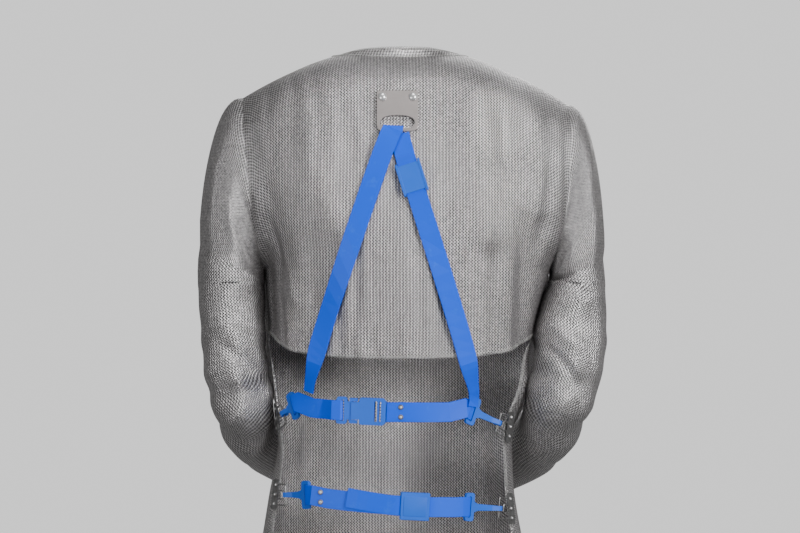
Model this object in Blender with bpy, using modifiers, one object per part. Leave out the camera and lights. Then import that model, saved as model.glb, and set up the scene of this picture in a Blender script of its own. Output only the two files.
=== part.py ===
"""Chainmail apron with sleeves, as worn and seen from its open back.

Metres, +Z up. The back of the garment faces -Y and its right-hand side in that view is +X.
The origin is the middle of the shoulders, where the wearer carries it. The mail pieces are walls
through points worked out from the body, arm and fold tables below, and what lies on them is made
from the same points, moved out.
"""

import math
from collections import namedtuple

import bmesh
import bpy
from mathutils import Matrix, Vector

MAIL = 0.002            # wall of the ring mail
SEAM = 0.0003           # gap between two pieces that are joined or that touch
HALF_SEAM = SEAM / 2
LEFT, RIGHT = -1, 1
BACK, FRONT = -1, 1
UP = Vector((0, 0, 1))

ROUNDNESS = 2.3         # how square the body's level section is, 2 for an ellipse
SHOULDER_END = {LEFT: 0.205, RIGHT: 0.219}  # from the middle to the outer end of each shoulder seam
ARMPIT_Z = -0.272
BACK_HEM_Z = -0.352     # side ends of the back's hem
BACK_HEM_DROP = 0.032   # how much lower the hem is at its middle
APRON_HEM_Z = -1.020
NECK_HALF = 0.088       # half the width of the neck seam
NECK_DROP_BACK = 0.013
NECK_DROP_FRONT = 0.084
NECK_SHARE = 0.40       # share of a panel's columns, from its middle, that end at the neck
BAND_HEIGHT = 0.0135
ROUND_BACK = 0.055      # height over which the shoulders round into the back
ROUND_FRONT = 0.075
BULGE_TURN = 0.30       # cosine of the turn from straight ahead at which the front stands out most
EDGE_DEPTH = 0.070      # depth of the curve on which the free edges wrap round the sides

COLUMNS = 28            # across a panel
ARMHOLE_ROWS = 12
SIDE_ROWS = 4           # armpit to the back's hem
SKIRT_ROWS = 13         # back's hem to the apron's hem
FAN_RINGS = 5           # armhole to upper arm
ARM_RINGS = 17          # upper arm to cuff

# Half widths to the left and right of the garment's middle, and depths to the back and front
Body = namedtuple("Body", "height left right back front")
BODY = [
    Body(0.020, 0.210, 0.222, 0.082, 0.055),
    Body(-0.058, 0.204, 0.221, 0.099, 0.078),
    Body(-0.117, 0.199, 0.220, 0.116, 0.104),
    Body(-0.200, 0.190, 0.213, 0.127, 0.126),
    Body(-0.272, 0.178, 0.196, 0.125, 0.132),
    Body(-0.325, 0.1730, 0.1805, 0.119, 0.130),
    Body(-0.378, 0.1720, 0.1700, 0.113, 0.125),
    Body(-0.4225, 0.1665, 0.1682, 0.1115, 0.113),
    Body(-0.455, 0.1620, 0.1560, 0.110, 0.1055),
    Body(-0.480, 0.1600, 0.1478, 0.110, 0.103),
    Body(-0.510, 0.160, 0.148, 0.110, 0.102),
    Body(-0.570, 0.172, 0.151, 0.110, 0.107),
    Body(-0.700, 0.190, 0.172, 0.110, 0.120),
    Body(-1.020, 0.205, 0.195, 0.110, 0.130),
]

# Height of the shoulder line over the distance from the middle
Ridge = namedtuple("Ridge", "height level")
RIDGE = [
    Ridge(0.240, -0.0740),
    Ridge(0.217, -0.0560),
    Ridge(0.183, -0.0355),
    Ridge(0.145, -0.0165),
    Ridge(0.100, 0.0020),
    Ridge(0.060, 0.0115),
    Ridge(0.000, 0.0145),
]

# How far the free edges of the front wrap on round the sides, in degrees past the side seam
Wrap = namedtuple("Wrap", "height left right")
WRAP = [
    Wrap(-0.352, 0.0, 0.0),
    Wrap(-0.385, 12.0, 20.0),
    Wrap(-0.450, 12.0, 26.0),
    Wrap(-0.560, 24.0, 26.0),
    Wrap(-1.020, 22.0, 24.0),
]

# How far the front stands out to the sides below the armpits, behind the bent arms
Bulge = namedtuple("Bulge", "height left right")
BULGE = [
    Bulge(-0.272, 0.000, 0.000),
    Bulge(-0.290, 0.012, 0.017),
    Bulge(-0.320, 0.015, 0.018),
    Bulge(-0.360, 0.016, 0.016),
    Bulge(-0.410, 0.0145, 0.0145),
    Bulge(-0.455, 0.0070, 0.0085),
    Bulge(-0.500, 0.0030, 0.0030),
    Bulge(-0.560, 0.000, 0.000),
]

# Long soft folds of the panels: place across in metres (middle of the fold), its half width, how far
# it stands out, and the heights between which it runs
Fold = namedtuple("Fold", "side across spread depth top bottom")
FOLDS = [
    Fold(BACK, -0.150, 0.016, 0.0060, -0.190, -0.420),
    Fold(BACK, -0.105, 0.020, -0.0040, -0.150, -0.420),
    Fold(BACK, 0.140, 0.018, 0.0050, -0.200, -0.420),
    Fold(BACK, 0.020, 0.026, 0.0025, -0.220, -0.430),
    Fold(BACK, -0.180, 0.012, 0.0050, -0.080, -0.260),
    Fold(BACK, 0.198, 0.012, 0.0050, -0.080, -0.260),
    Fold(FRONT, -0.120, 0.022, 0.0100, -0.530, -1.150),
    Fold(FRONT, -0.045, 0.024, 0.0080, -0.420, -1.150),
    Fold(FRONT, 0.030, 0.026, 0.0090, -0.360, -1.150),
    Fold(FRONT, 0.105, 0.022, 0.0090, -0.530, -1.150),
]

# Middle line of each sleeve with its half widths: across as seen from the back, and front to back
Arm = namedtuple("Arm", "x y z wide deep")
ARMS = {
    LEFT: [
        Arm(-0.2228, 0.000, -0.292, 0.0412, 0.056),
        Arm(-0.2182, -0.006, -0.350, 0.0418, 0.053),
        Arm(-0.2135, -0.010, -0.405, 0.0415, 0.051),
        Arm(-0.2050, 0.004, -0.452, 0.0400, 0.049),
        Arm(-0.1950, 0.050, -0.486, 0.0380, 0.045),
        Arm(-0.1700, 0.108, -0.512, 0.0385, 0.042),
        Arm(-0.1300, 0.160, -0.538, 0.0380, 0.040),
        Arm(-0.0900, 0.196, -0.562, 0.0370, 0.038),
    ],
    RIGHT: [
        Arm(0.2345, 0.000, -0.292, 0.0335, 0.056),
        Arm(0.2228, -0.006, -0.350, 0.0472, 0.053),
        Arm(0.2192, -0.010, -0.405, 0.0448, 0.051),
        Arm(0.2050, 0.004, -0.453, 0.0440, 0.049),
        Arm(0.1900, 0.050, -0.490, 0.0410, 0.046),
        Arm(0.1660, 0.106, -0.517, 0.0400, 0.043),
        Arm(0.1270, 0.158, -0.542, 0.0380, 0.040),
        Arm(0.0880, 0.196, -0.564, 0.0370, 0.038),
    ],
}

# Creases of the sleeves: place round the tube (0 outer, 0.25 back, 0.5 inner) and along it (1 upper
# arm, 2 cuff), half widths both ways, and how far the crease goes in or the mail stands out
Crease = namedtuple("Crease", "hand around along spread length depth")
CREASES = [
    Crease(RIGHT, 0.18, 0.92, 0.22, 0.040, 0.0050),
    Crease(RIGHT, 0.20, 1.30, 0.20, 0.035, 0.0060),
    Crease(RIGHT, 0.12, 1.44, 0.24, 0.035, 0.0060),
    Crease(RIGHT, 0.60, 1.50, 0.16, 0.050, 0.0070),
    Crease(LEFT, 0.18, 0.85, 0.20, 0.040, 0.0045),
    Crease(LEFT, 0.22, 1.34, 0.20, 0.035, 0.0055),
    Crease(LEFT, 0.14, 1.47, 0.22, 0.035, 0.0055),
    Crease(LEFT, 0.60, 1.50, 0.16, 0.050, 0.0070),
    Crease(RIGHT, 0.46, 1.33, 0.10, 0.080, -0.0032),
    Crease(LEFT, 0.46, 1.36, 0.10, 0.080, -0.0028),
]

STRAP = 0.0020          # thickness of the plastic straps
STRAP_WIDTH = 0.0250
STRAP_LIFT = 0.0006     # a flat strap's middle stands this far further off the curved mail

# Steel plate between the shoulder blades
PLATE_MIDDLE_X = -0.003
PLATE_TOP_Z = -0.0436
PLATE_WIDTH = 0.0525
PLATE_HEIGHT = 0.0550
PLATE_THICK = 0.0020
PLATE_CORNER = 0.0080   # radius of its lower corners
PLATE_CHAMFER = (0.0012, 0.0020)    # along and down each upper corner
PLATE_SLOT = (0.0440, 0.0175)   # width and height of the D-shaped slot
SLOT_ARCH = 0.0070      # rise of the slot's arched top
SLOT_FOOT = (0.0040, 0.0050)    # along and up each lower corner of the slot
PLATE_BAR = 0.0042      # steel below the slot
PLATE_RIVET_APART = 0.0390
PLATE_RIVET_DOWN = 0.0085   # from the plate's top
PLATE_RIVET_RADIUS = 0.0044
PLATE_RIVET_HEIGHT = 0.0026

# Braces: where their middle lines run, as seen from the back, from the plate to the waist belt
Point = namedtuple("Point", "x z")
BRACE_LEFT = [
    Point(-0.0100, -0.0950),
    Point(-0.0158, -0.1090),
    Point(-0.0310, -0.1500),
    Point(-0.0745, -0.2780),
    Point(-0.1010, -0.3600),
    Point(-0.1130, -0.4060),
    Point(-0.1170, -0.4290),
]
BRACE_RIGHT = [
    Point(-0.0008, -0.1006),
    Point(0.0036, -0.1185),
    Point(0.0148, -0.1565),
    Point(0.0535, -0.2780),
    Point(0.0815, -0.3700),
    Point(0.0915, -0.4120),
    Point(0.0955, -0.4340),
]
BAR_CROSSING_X = -0.0053    # where the left brace crosses the plate's bar, in the plate's own frame
BAR_CLEARANCE = 0.0004  # and how much further off it stands there
STRAP_BEND = 0.0015     # how far above the bar the brace passes through the plate's slot
BRACE_SLIDER_Z = -0.1530
BRACE_SLIDER = (0.0300, 0.0360)     # width and length
BRACE_HELD = 0.0260     # half the length of brace that its slider holds straight
SLIDER_WALL = 0.0024    # plastic on each side of the straps that a slider holds
BRACE_RAIL = (0.0030, 0.0420)   # width and length of the raised rail along each side of its slider
RAIL_RISE = 0.0008      # how much thicker a rail is than the slider, on each face
BRACE_STEPS = 30
# Each brace narrows towards its lower end: from which height, over what drop, and to what width
Taper = namedtuple("Taper", "height drop width")
LEFT_TAPER = Taper(-0.372, 0.050, 0.0140)
RIGHT_TAPER = Taper(-0.385, 0.045, 0.0150)
RIGHT_ENDS = ((-0.0085, 0.0140), (-0.0060, 0.0040))     # its last two points, in the hook's own frame
# How far each brace's middle stands off the mail: over the bar and the other brace, under the slider
Lift = namedtuple("Lift", "height lift")
LEFT_LIFTS = [Lift(-0.103, 0.0076), Lift(-0.129, 0.0058), Lift(-0.175, 0.0035),
              Lift(-0.300, 0.0038), Lift(-0.360, 0.0044), Lift(-0.440, 0.0044)]
RIGHT_LIFTS = [Lift(-0.097, 0.0019), Lift(-0.125, 0.0022), Lift(-0.138, 0.0055), Lift(-0.175, 0.0056),
               Lift(-0.210, 0.0035), Lift(-0.320, 0.0038), Lift(-0.370, 0.0044), Lift(-0.440, 0.0044)]

# Belts: ellipse that each follows behind the wearer, where its hooks are and how high
Belt = namedtuple("Belt", "middle half depth left_hook left_z right_hook right_z")
WAIST = Belt(-0.012, 0.150, 0.100, -0.1400, -0.4480, 0.0950, -0.4540)
HIP = Belt(-0.012, 0.155, 0.105, -0.1220, -0.5610, 0.0900, -0.5760)
BELT_SAG = 0.002        # how much lower a belt's middle is than the line between its ends
BELT_BLEND = 0.022      # length over which a belt leaves a hook's plane for its own curve

# Buckle, measured along the belt from its middle
BUCKLE_X = -0.0495
BUCKLE_HEIGHT = 0.0345
BUCKLE_LIFT = -0.0015
PLUG_U = (-0.0320, -0.0185)
PLUG_SLOT_U = -0.0245
PLUG_SLOT = (0.0048, 0.0270)
PLUG_THICK = 0.0050
PLUG_STEP = 0.0002      # how much thinner each next part of the plug is
# The plug's neck, shoulder and two prongs: sizes, distance past the plug's end and place up or down
PlugPart = namedtuple("PlugPart", "width height past up")
PLUG_PARTS = [
    PlugPart(0.0050, 0.0230, 0.0020, 0.0),
    PlugPart(0.0024, 0.0320, 0.0044, 0.0),
    PlugPart(0.0092, 0.0044, 0.0092, -0.0140),
    PlugPart(0.0092, 0.0044, 0.0092, 0.0140),
]
SOCKET_U = (-0.0127, 0.0320)
SOCKET_THICK = 0.0080
SOCKET_MOUTH = (0.0105, 0.0112)     # length and half height of the narrower mouth
SOCKET_CORNERS = (0.0020, 0.0040)   # at the mouth and at the belt
SOCKET_WINDOWS = ((0.0040, 0.0130), (0.0028, 0.0075))   # width of each, and its distance from the end
SOCKET_WINDOW_HEIGHT = 0.0260
HIP_OVERLAP_X = -0.067  # where the hip belt's outer layer begins
HIP_OVERLAP_RISE = 0.0045  # how much higher it is there than the inner layer
HIP_SLIDER_X = (0.0000, 0.0370)
HIP_SLIDER_WIDTH = 0.0350
HIP_END_INSIDE = 0.0030     # how far the inner strap's end lies inside the slider
BELT_RIVETS = {"waist": 0.0008, "hip": -0.1010}
RIVET_UP = 0.0063       # from the belt's middle line to each rivet
RIVET_RADIUS = 0.0034
RIVET_HEIGHT = 0.0016
RIVET_SIDES = 12

# Hooks: slotted bar, arm and curl
HOOK_BAR = (0.0140, 0.0360)
HOOK_SLOT = (0.0045, 0.0268)
HOOK_SLOT_SHIFT = 0.0005    # from the bar's middle towards the belt
HOOK_LIMB = 0.0065      # from the bar's middle to where the belt comes on to it
HOOK_CORNERS = (0.0035, 0.0015)     # of the bar and of its slot
HOOK_THICK = 0.0042
HOOK_ARM_THICK = 0.0030
HOOK_CURL = 0.0040      # radius of the curl's middle line
# The arm: distance out from the bar's middle and width, then the curl's width
ArmPart = namedtuple("ArmPart", "out width")
HOOK_ARM = [ArmPart(0.0045, 0.0180), ArmPart(0.0090, 0.0120), ArmPart(0.0140, 0.0085)]
HOOK_NECK = ((0.0110, 0.0, 0.0070), (0.0050, 0.6, 0.0062))  # before the wire, share of the curl, width
HOOK_CURL_WIDTH = 0.0060

# Eye plates on the front's free edges: side, height of the middle
Eye = namedtuple("Eye", "name hand height")
EYES = [
    Eye("waist_left", LEFT, -0.4660),
    Eye("waist_right", RIGHT, -0.4760),
    Eye("hip_left", LEFT, -0.5640),
    Eye("hip_right", RIGHT, -0.5820),
]
EYE_PLATE = (0.0130, 0.0400, 0.0012)    # width, height and thickness
EYE_CORNER = 0.0030
EYE_OVERHANG = 0.0015   # how far a plate stands past the mail's edge
LOOPS = ((0.0155, 0.0135), (0.0080, 0.0055))    # each wire loop's reach from the plate and half height
LOOP_CORNER = 0.0025
LOOP_WIRE = 0.0010      # its radius
LOOP_ROOT_DEPTH = 0.0006    # how far its ends go into the plate's edge

collection = bpy.data.collections.new("chainmail_apron")
cutters = bpy.data.collections.new("cutters")


def clear_scene():
    for old in list(bpy.data.objects):
        bpy.data.objects.remove(old, do_unlink=True)
    bpy.context.scene.collection.children.link(collection)
    bpy.context.scene.collection.children.link(cutters)


def material(name, colour, roughness, metallic):
    made = bpy.data.materials.new(name)
    made.use_nodes = True
    shader = made.node_tree.nodes["Principled BSDF"]
    shader.inputs["Base Color"].default_value = (*colour, 1.0)
    shader.inputs["Roughness"].default_value = roughness
    shader.inputs["Metallic"].default_value = metallic
    return made


def add_object(name, mesh, finish):
    made = bpy.data.objects.new(name, mesh)
    made.data.materials.append(finish)
    collection.objects.link(made)
    return made


def smooth(rows, column, height):
    """One column of a table, read between its rows along a smooth curve. Its keys fall from the top."""
    keys = [row.height for row in rows]
    values = [getattr(row, column) for row in rows]
    if height >= keys[0]:
        return values[0]
    if height <= keys[-1]:
        return values[-1]
    i = next(k for k in range(len(keys) - 1) if height >= keys[k + 1])

    def slope(k):
        before, after = max(k - 1, 0), min(k + 1, len(keys) - 1)
        return (values[after] - values[before]) / (keys[after] - keys[before])

    step = keys[i + 1] - keys[i]
    t = (height - keys[i]) / step
    return (
        (2 * t**3 - 3 * t**2 + 1) * values[i]
        + (t**3 - 2 * t**2 + t) * step * slope(i)
        + (3 * t**2 - 2 * t**3) * values[i + 1]
        + (t**3 - t**2) * step * slope(i + 1)
    )


def mix(a, b, t):
    return a + (b - a) * t


def ease(t):
    t = min(max(t, 0.0), 1.0)
    return t * t * (3 - 2 * t)


def bell(distance, spread):
    return math.exp(-((distance / spread) ** 2))


def power(value):
    """Signed sine or cosine, squared off for the body's section."""
    return math.copysign(abs(value) ** (2 / ROUNDNESS), value)


def half_width(hand, height):
    return smooth(BODY, "left" if hand == LEFT else "right", height)


def ridge(across):
    return smooth(RIDGE, "level", abs(across))


def reach(height):
    """How much wider the body is than the armholes, which close at shoulder and armpit."""
    top = ridge(SHOULDER_END[RIGHT])
    t = (top - height) / (top - ARMPIT_Z)
    return 1.0 + 0.10 * math.sin(math.pi * min(max(t, 0.0), 1.0)) + 0.05 * (1 - ease(t))


def depth_at(side, across, height):
    """How far the mail lies in front of the middle plane, with no folds, above the armpits."""
    hand = LEFT if across < 0 else RIGHT
    share = min(abs(across) / (half_width(hand, height) * reach(height)), 1.0)
    section = (1 - share**ROUNDNESS) ** (1 / ROUNDNESS)
    rounding = ROUND_BACK if side == BACK else ROUND_FRONT
    q = min(max((ridge(across) - height) / rounding, 0.0), 1.0)
    rise = math.sqrt(1 - (1 - q) ** 2)
    return side * smooth(BODY, "back" if side == BACK else "front", height) * section * rise


def top_point(side, s):
    """X and Z of a panel's upper end: on the neck seam near the middle, else on the shoulder."""
    share = abs(s)
    hand = LEFT if s < 0 else RIGHT
    if share <= NECK_SHARE:
        across = NECK_HALF * math.sin(math.pi / 2 * share / NECK_SHARE)
        drop = NECK_DROP_BACK if side == BACK else NECK_DROP_FRONT
        return hand * across, ridge(across) - drop * (1 - (across / NECK_HALF) ** 2)
    outer = (share - NECK_SHARE) / (1 - NECK_SHARE)
    across = mix(NECK_HALF, SHOULDER_END[hand], outer)
    return hand * across, ridge(across)


def hem_level(side, s):
    if side == FRONT:
        return BACK_HEM_Z
    return BACK_HEM_Z - BACK_HEM_DROP * (1 - abs(s) ** 2.4)


def form_point(side, s, v):
    """A panel's surface with no folds. s runs from -1 at the left side seam to 1 at the right. v is 0
    at the top, 1 at the armpits, 2 at the back's hem and 3 at the apron's hem."""
    hand = LEFT if s < 0 else RIGHT
    if v <= 1:
        top_x, top_z = top_point(side, s)
        spaced = mix(v, 0.5 - 0.5 * math.cos(math.pi * v), 0.8)
        z = mix(top_z, ARMPIT_Z, spaced)
        side_z = mix(ridge(SHOULDER_END[hand]), ARMPIT_Z, spaced)
        side_x = mix(SHOULDER_END[hand], half_width(hand, side_z), ease(v / 0.3))
        upper = top_x * side_x / SHOULDER_END[hand]
        lower = side_x * power(math.sin(math.pi / 2 * s))
        x = mix(upper, lower, ease(v))
        return Vector((x, depth_at(side, x, z), z))
    if v <= 2:
        z = mix(ARMPIT_Z, hem_level(side, s), v - 1)
    else:
        z = mix(BACK_HEM_Z, APRON_HEM_Z, v - 2)
    turn = s * math.pi / 2
    if side == FRONT and v > 2:
        turn += s * math.radians(smooth(WRAP, "left" if hand == LEFT else "right", z))
    x = half_width(hand, z) * power(math.sin(turn))
    if side == FRONT:
        share = min(max(math.cos(turn) / BULGE_TURN / 2, 0.0), 1.0)
        out = smooth(BULGE, "left" if hand == LEFT else "right", z)
        x += hand * out * math.sin(math.pi * share) ** 2
    if math.cos(turn) >= 0:
        depth = smooth(BODY, "back" if side == BACK else "front", z)
    else:
        depth = EDGE_DEPTH
    return Vector((x, side * depth * power(math.cos(turn)), z))


def slope_cross(point, u, v, low_u, high_u, low_v, high_v):
    """The surface's normal at u, v, from its slopes both ways."""
    step = 0.001
    across = point(min(u + step, high_u), v) - point(max(u - step, low_u), v)
    down = point(u, min(v + step, high_v)) - point(u, max(v - step, low_v))
    return across.cross(down).normalized()


def form_normal(side, s, v):
    normal = slope_cross(lambda a, b: form_point(side, a, b), s, v, -1, 1, 0, 2 if side == BACK else 3)
    return normal if side == FRONT else -normal


def fold_height(side, across, height):
    total = 0.0
    for fold in FOLDS:
        if fold.side != side:
            continue
        along = (fold.top - height) / (fold.top - fold.bottom)
        window = ease(along / 0.3) * ease((1 - along) / 0.15)
        total += fold.depth * bell(across - fold.across, fold.spread) * window
    return total


def panel_point(side, s, v):
    base = form_point(side, s, v)
    seam_fade = ease((1 - abs(s)) / 0.12)
    top_fade = ease(v / 0.25)
    amount = fold_height(side, base.x, base.z) * seam_fade * top_fade
    return base + form_normal(side, s, v) * amount


def panel_normal(side, s, v):
    normal = slope_cross(lambda a, b: panel_point(side, a, b), s, v, -1, 1, 0, 2 if side == BACK else 3)
    return normal if side == FRONT else -normal


def armhole_point(hand, around):
    """The armhole's edge: 0 at the shoulder, 0.25 at the back, 0.5 at the armpit, 0.75 in front."""
    side, v = (BACK, 2 * around) if around <= 0.5 else (FRONT, 2 - 2 * around)
    return form_point(side, hand, v)


class ArmPath:
    """A sleeve's middle line, with the directions that its rings lie in."""

    def __init__(self, hand):
        self.rows = ARMS[hand]
        self.points = [self.between(k / ARM_RINGS) for k in range(ARM_RINGS + 1)]
        self.outer = [Vector((hand, 0, 0))]
        self.back = [Vector((0, -1, 0))]
        tangent = Vector((0, 0, -1))
        for k in range(1, ARM_RINGS + 1):
            ahead = self.points[min(k + 1, ARM_RINGS)][0]
            heading = (ahead - self.points[k - 1][0]).normalized()
            turn = tangent.rotation_difference(heading)
            self.outer.append(turn @ self.outer[-1])
            self.back.append(turn @ self.back[-1])
            tangent = heading

    def between(self, t):
        """Middle point and half widths at a share of the sleeve's length."""
        place = t * (len(self.rows) - 1)
        i = min(int(place), len(self.rows) - 2)
        t = place - i
        p0 = self.rows[max(i - 1, 0)]
        p1 = self.rows[i]
        p2 = self.rows[i + 1]
        p3 = self.rows[min(i + 2, len(self.rows) - 1)]
        x, y, z, wide, deep = (
            0.5 * (2 * b + (c - a) * t + (2 * a - 5 * b + 4 * c - d) * t**2 + (3 * b - a - 3 * c + d) * t**3)
            for a, b, c, d in zip(p0, p1, p2, p3)
        )
        return Vector((x, y, z)), wide, deep

    def ring_point(self, around, k):
        low = min(int(k), ARM_RINGS - 1)
        t = k - low
        angle = 2 * math.pi * around
        found = []
        for ring in (low, low + 1):
            middle, wide, deep = self.points[ring]
            found.append(
                middle
                + self.outer[ring] * wide * math.cos(angle)
                + self.back[ring] * deep * math.sin(angle)
            )
        return found[0].lerp(found[1], t)


PATHS = {hand: ArmPath(hand) for hand in (LEFT, RIGHT)}


def sleeve_base(hand, around, along):
    """The sleeve with no creases. along is 0 at the armhole, 1 on the upper arm and 2 at the cuff."""
    around = around % 1.0
    if along >= 1:
        return PATHS[hand].ring_point(around, (along - 1) * ARM_RINGS)
    start = armhole_point(hand, around)
    end = PATHS[hand].ring_point(around, 0)
    out = math.sin(math.pi / 2 * along) ** 0.85
    down = 1 - math.cos(math.pi / 2 * along)
    return Vector((mix(start.x, end.x, out), mix(start.y, end.y, along), mix(start.z, end.z, down)))


def sleeve_point(hand, around, along):
    base = sleeve_base(hand, around, along)
    amount = 0.0
    for crease in CREASES:
        if crease.hand == hand:
            apart = abs((around - crease.around + 0.5) % 1.0 - 0.5)
            amount -= crease.depth * bell(apart, crease.spread) * bell(along - crease.along, crease.length)
    if abs(amount) < 1e-5 or along < 0.02:
        return base
    normal = slope_cross(lambda a, b: sleeve_base(hand, a, b), around, along, -1, 2, 0, 2)
    return base + normal * hand * amount


def sleeve_normal(hand, around, along):
    return hand * slope_cross(lambda a, b: sleeve_point(hand, a, b), around, along, -1, 2, 0, 2)


def armhole_normal(hand, around):
    """Halfway between the panel's and the sleeve's, so that their edges lie side by side."""
    side, v = (BACK, 2 * around) if around <= 0.5 else (FRONT, 2 - 2 * around)
    return (panel_normal(side, hand, v) + sleeve_normal(hand, around, 0.0)).normalized()


def band_point(side, s, up):
    """The neck band: up is 0 at its seam and 1 at its free edge."""
    seam = form_point(side, s, 0)
    out = Vector((seam.x, seam.y, 0)).normalized()
    lean = math.radians(mix(24, 80, abs(out.x) ** 3))
    height = BAND_HEIGHT * up
    return seam - out * height * math.sin(lean) + Vector((0, 0, height * math.cos(lean)))


def band_normal(side, s, up):
    step = 0.002
    low, high = max(s - step, -NECK_SHARE), min(s + step, NECK_SHARE)
    across = band_point(side, high, up) - band_point(side, low, up)
    rise = band_point(side, s, 1) - band_point(side, s, 0)
    normal = across.cross(rise).normalized()
    return normal if side == BACK else -normal


def neck_normal(side, s):
    return (panel_normal(side, s, 0) + band_normal(side, s, 0)).normalized()


def wall(name, points, normals, finish, ring=False):
    """A closed wall between a net of points and the same net moved in. With ring, its rows close."""
    rows, columns = len(points), len(points[0])
    mesh = bmesh.new()
    outside = [[mesh.verts.new(p) for p in row] for row in points]
    inside = [
        [mesh.verts.new(points[r][c] - normals[r][c] * MAIL) for c in range(columns)]
        for r in range(rows)
    ]
    last = columns if ring else columns - 1
    for r in range(rows - 1):
        for c in range(last):
            n = (c + 1) % columns
            mesh.faces.new((outside[r][c], outside[r + 1][c], outside[r + 1][n], outside[r][n]))
            mesh.faces.new((inside[r][n], inside[r + 1][n], inside[r + 1][c], inside[r][c]))
    for c in range(last):
        n = (c + 1) % columns
        mesh.faces.new((outside[0][c], outside[0][n], inside[0][n], inside[0][c]))
        mesh.faces.new((outside[-1][n], outside[-1][c], inside[-1][c], inside[-1][n]))
    if not ring:
        for r in range(rows - 1):
            mesh.faces.new((outside[r + 1][0], outside[r][0], inside[r][0], inside[r + 1][0]))
            mesh.faces.new((outside[r][-1], outside[r + 1][-1], inside[r + 1][-1], inside[r][-1]))
    r, c = rows // 2, columns // 2
    facing = (points[r][c] - points[r - 1][c]).cross(points[r][c] - points[r][c - 1])
    if facing.dot(normals[r][c]) < 0:
        bmesh.ops.reverse_faces(mesh, faces=mesh.faces)
    data = bpy.data.meshes.new(name)
    mesh.to_mesh(data)
    mesh.free()
    data.shade_smooth()
    data.set_sharp_from_angle(angle=math.radians(50))
    return add_object(name, data, finish)


def step_back(point, towards, amount=HALF_SEAM):
    return point + (towards - point).normalized() * amount


def panel_columns():
    return [2 * c / COLUMNS - 1 for c in range(COLUMNS + 1)]


def panel_levels(side):
    levels = [r / ARMHOLE_ROWS for r in range(ARMHOLE_ROWS)]
    levels += [1 + r / SIDE_ROWS for r in range(SIDE_ROWS)]
    if side == BACK:
        return levels + [2.0]
    return levels + [2 + r / SKIRT_ROWS for r in range(SKIRT_ROWS + 1)]


def build_panel(name, side, finish):
    columns = panel_columns()
    levels = panel_levels(side)
    points = [[panel_point(side, s, v) for s in columns] for v in levels]
    normals = [[panel_normal(side, s, v) for s in columns] for v in levels]
    for c, s in enumerate(columns):
        if abs(s) < NECK_SHARE:
            normals[0][c] = neck_normal(side, s)
    for r in range(ARMHOLE_ROWS + 1):
        around = levels[r] / 2 if side == BACK else 1 - levels[r] / 2
        normals[r][0] = armhole_normal(LEFT, around)
        normals[r][-1] = armhole_normal(RIGHT, around)
    points[0] = [step_back(p, q) for p, q in zip(points[0], points[1])]
    for r in range(len(levels)):
        if levels[r] <= 2:
            points[r][0] = step_back(points[r][0], points[r][1])
            points[r][-1] = step_back(points[r][-1], points[r][-2])
    return wall(name, points, normals, finish)


def build_sleeve(name, hand, finish):
    rounds = [k / (2 * ARMHOLE_ROWS) for k in range(2 * ARMHOLE_ROWS)]
    stations = [k / FAN_RINGS for k in range(FAN_RINGS)]
    stations += [1 + k / ARM_RINGS for k in range(ARM_RINGS + 1)]
    points = [[sleeve_point(hand, a, t) for a in rounds] for t in stations]
    normals = [[sleeve_normal(hand, a, t) for a in rounds] for t in stations]
    normals[0] = [armhole_normal(hand, a) for a in rounds]
    points[0] = [step_back(p, q) for p, q in zip(points[0], points[1])]
    return wall(name, points, normals, finish, ring=True)


def build_band(name, finish):
    inner = [s for s in panel_columns() if abs(s) < NECK_SHARE - 1e-6]
    ends = (-NECK_SHARE, NECK_SHARE)
    loop = [(BACK, s) for s in (ends[0], *inner, ends[1])]
    loop += [(FRONT, s) for s in reversed(inner)]
    heights = (0.0, 0.5, 1.0)
    points = [[band_point(side, s, up) for side, s in loop] for up in heights]
    normals = [[band_normal(side, s, up) for side, s in loop] for up in heights]
    normals[0] = [neck_normal(side, s) for side, s in loop]
    points[0] = [step_back(p, q) for p, q in zip(points[0], points[1])]
    return wall(name, points, normals, finish, ring=True)


def frame_of(origin, along, up):
    """A placing matrix with its X along, its Y near up and its Z square to both."""
    x = along.normalized()
    y = (up - x * up.dot(x)).normalized()
    z = x.cross(y)
    placed = Matrix((x, y, z)).transposed().to_4x4()
    placed.translation = origin
    return placed


def ribbon(name, centres, across, widths, thickness, finish, placed=None):
    """A flat strap through centre points, with its width along `across` at each of them."""
    last = len(centres) - 1
    mesh = bmesh.new()
    rings = []
    for k, centre in enumerate(centres):
        tangent = (centres[min(k + 1, last)] - centres[max(k - 1, 0)]).normalized()
        side = (across[k] - tangent * across[k].dot(tangent)).normalized() * (widths[k] / 2)
        rise = tangent.cross(side).normalized() * (thickness / 2)
        corners = (side + rise, side - rise, -side - rise, -side + rise)
        rings.append([mesh.verts.new(centre + corner) for corner in corners])
    for ring, following in zip(rings, rings[1:]):
        for k in range(4):
            n = (k + 1) % 4
            mesh.faces.new((ring[k], following[k], following[n], ring[n]))
    mesh.faces.new(rings[0])
    mesh.faces.new(reversed(rings[-1]))
    if mesh.calc_volume(signed=True) < 0:
        bmesh.ops.reverse_faces(mesh, faces=mesh.faces)
    data = bpy.data.meshes.new(name)
    mesh.to_mesh(data)
    mesh.free()
    data.shade_smooth()
    data.set_sharp_from_angle(angle=math.radians(40))
    made = add_object(name, data, finish)
    if placed:
        made.matrix_world = placed
    return made


def rounded(width, height, radius, steps=3, middle=(0.0, 0.0)):
    """The outline of a rectangle with round corners."""
    points = []
    for quarter, (sx, sy) in enumerate(((1, 1), (-1, 1), (-1, -1), (1, -1))):
        cx = middle[0] + sx * (width / 2 - radius)
        cy = middle[1] + sy * (height / 2 - radius)
        for k in range(steps + 1):
            angle = math.pi / 2 * (quarter + k / steps)
            points.append((cx + radius * math.cos(angle), cy + radius * math.sin(angle)))
    return points


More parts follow.
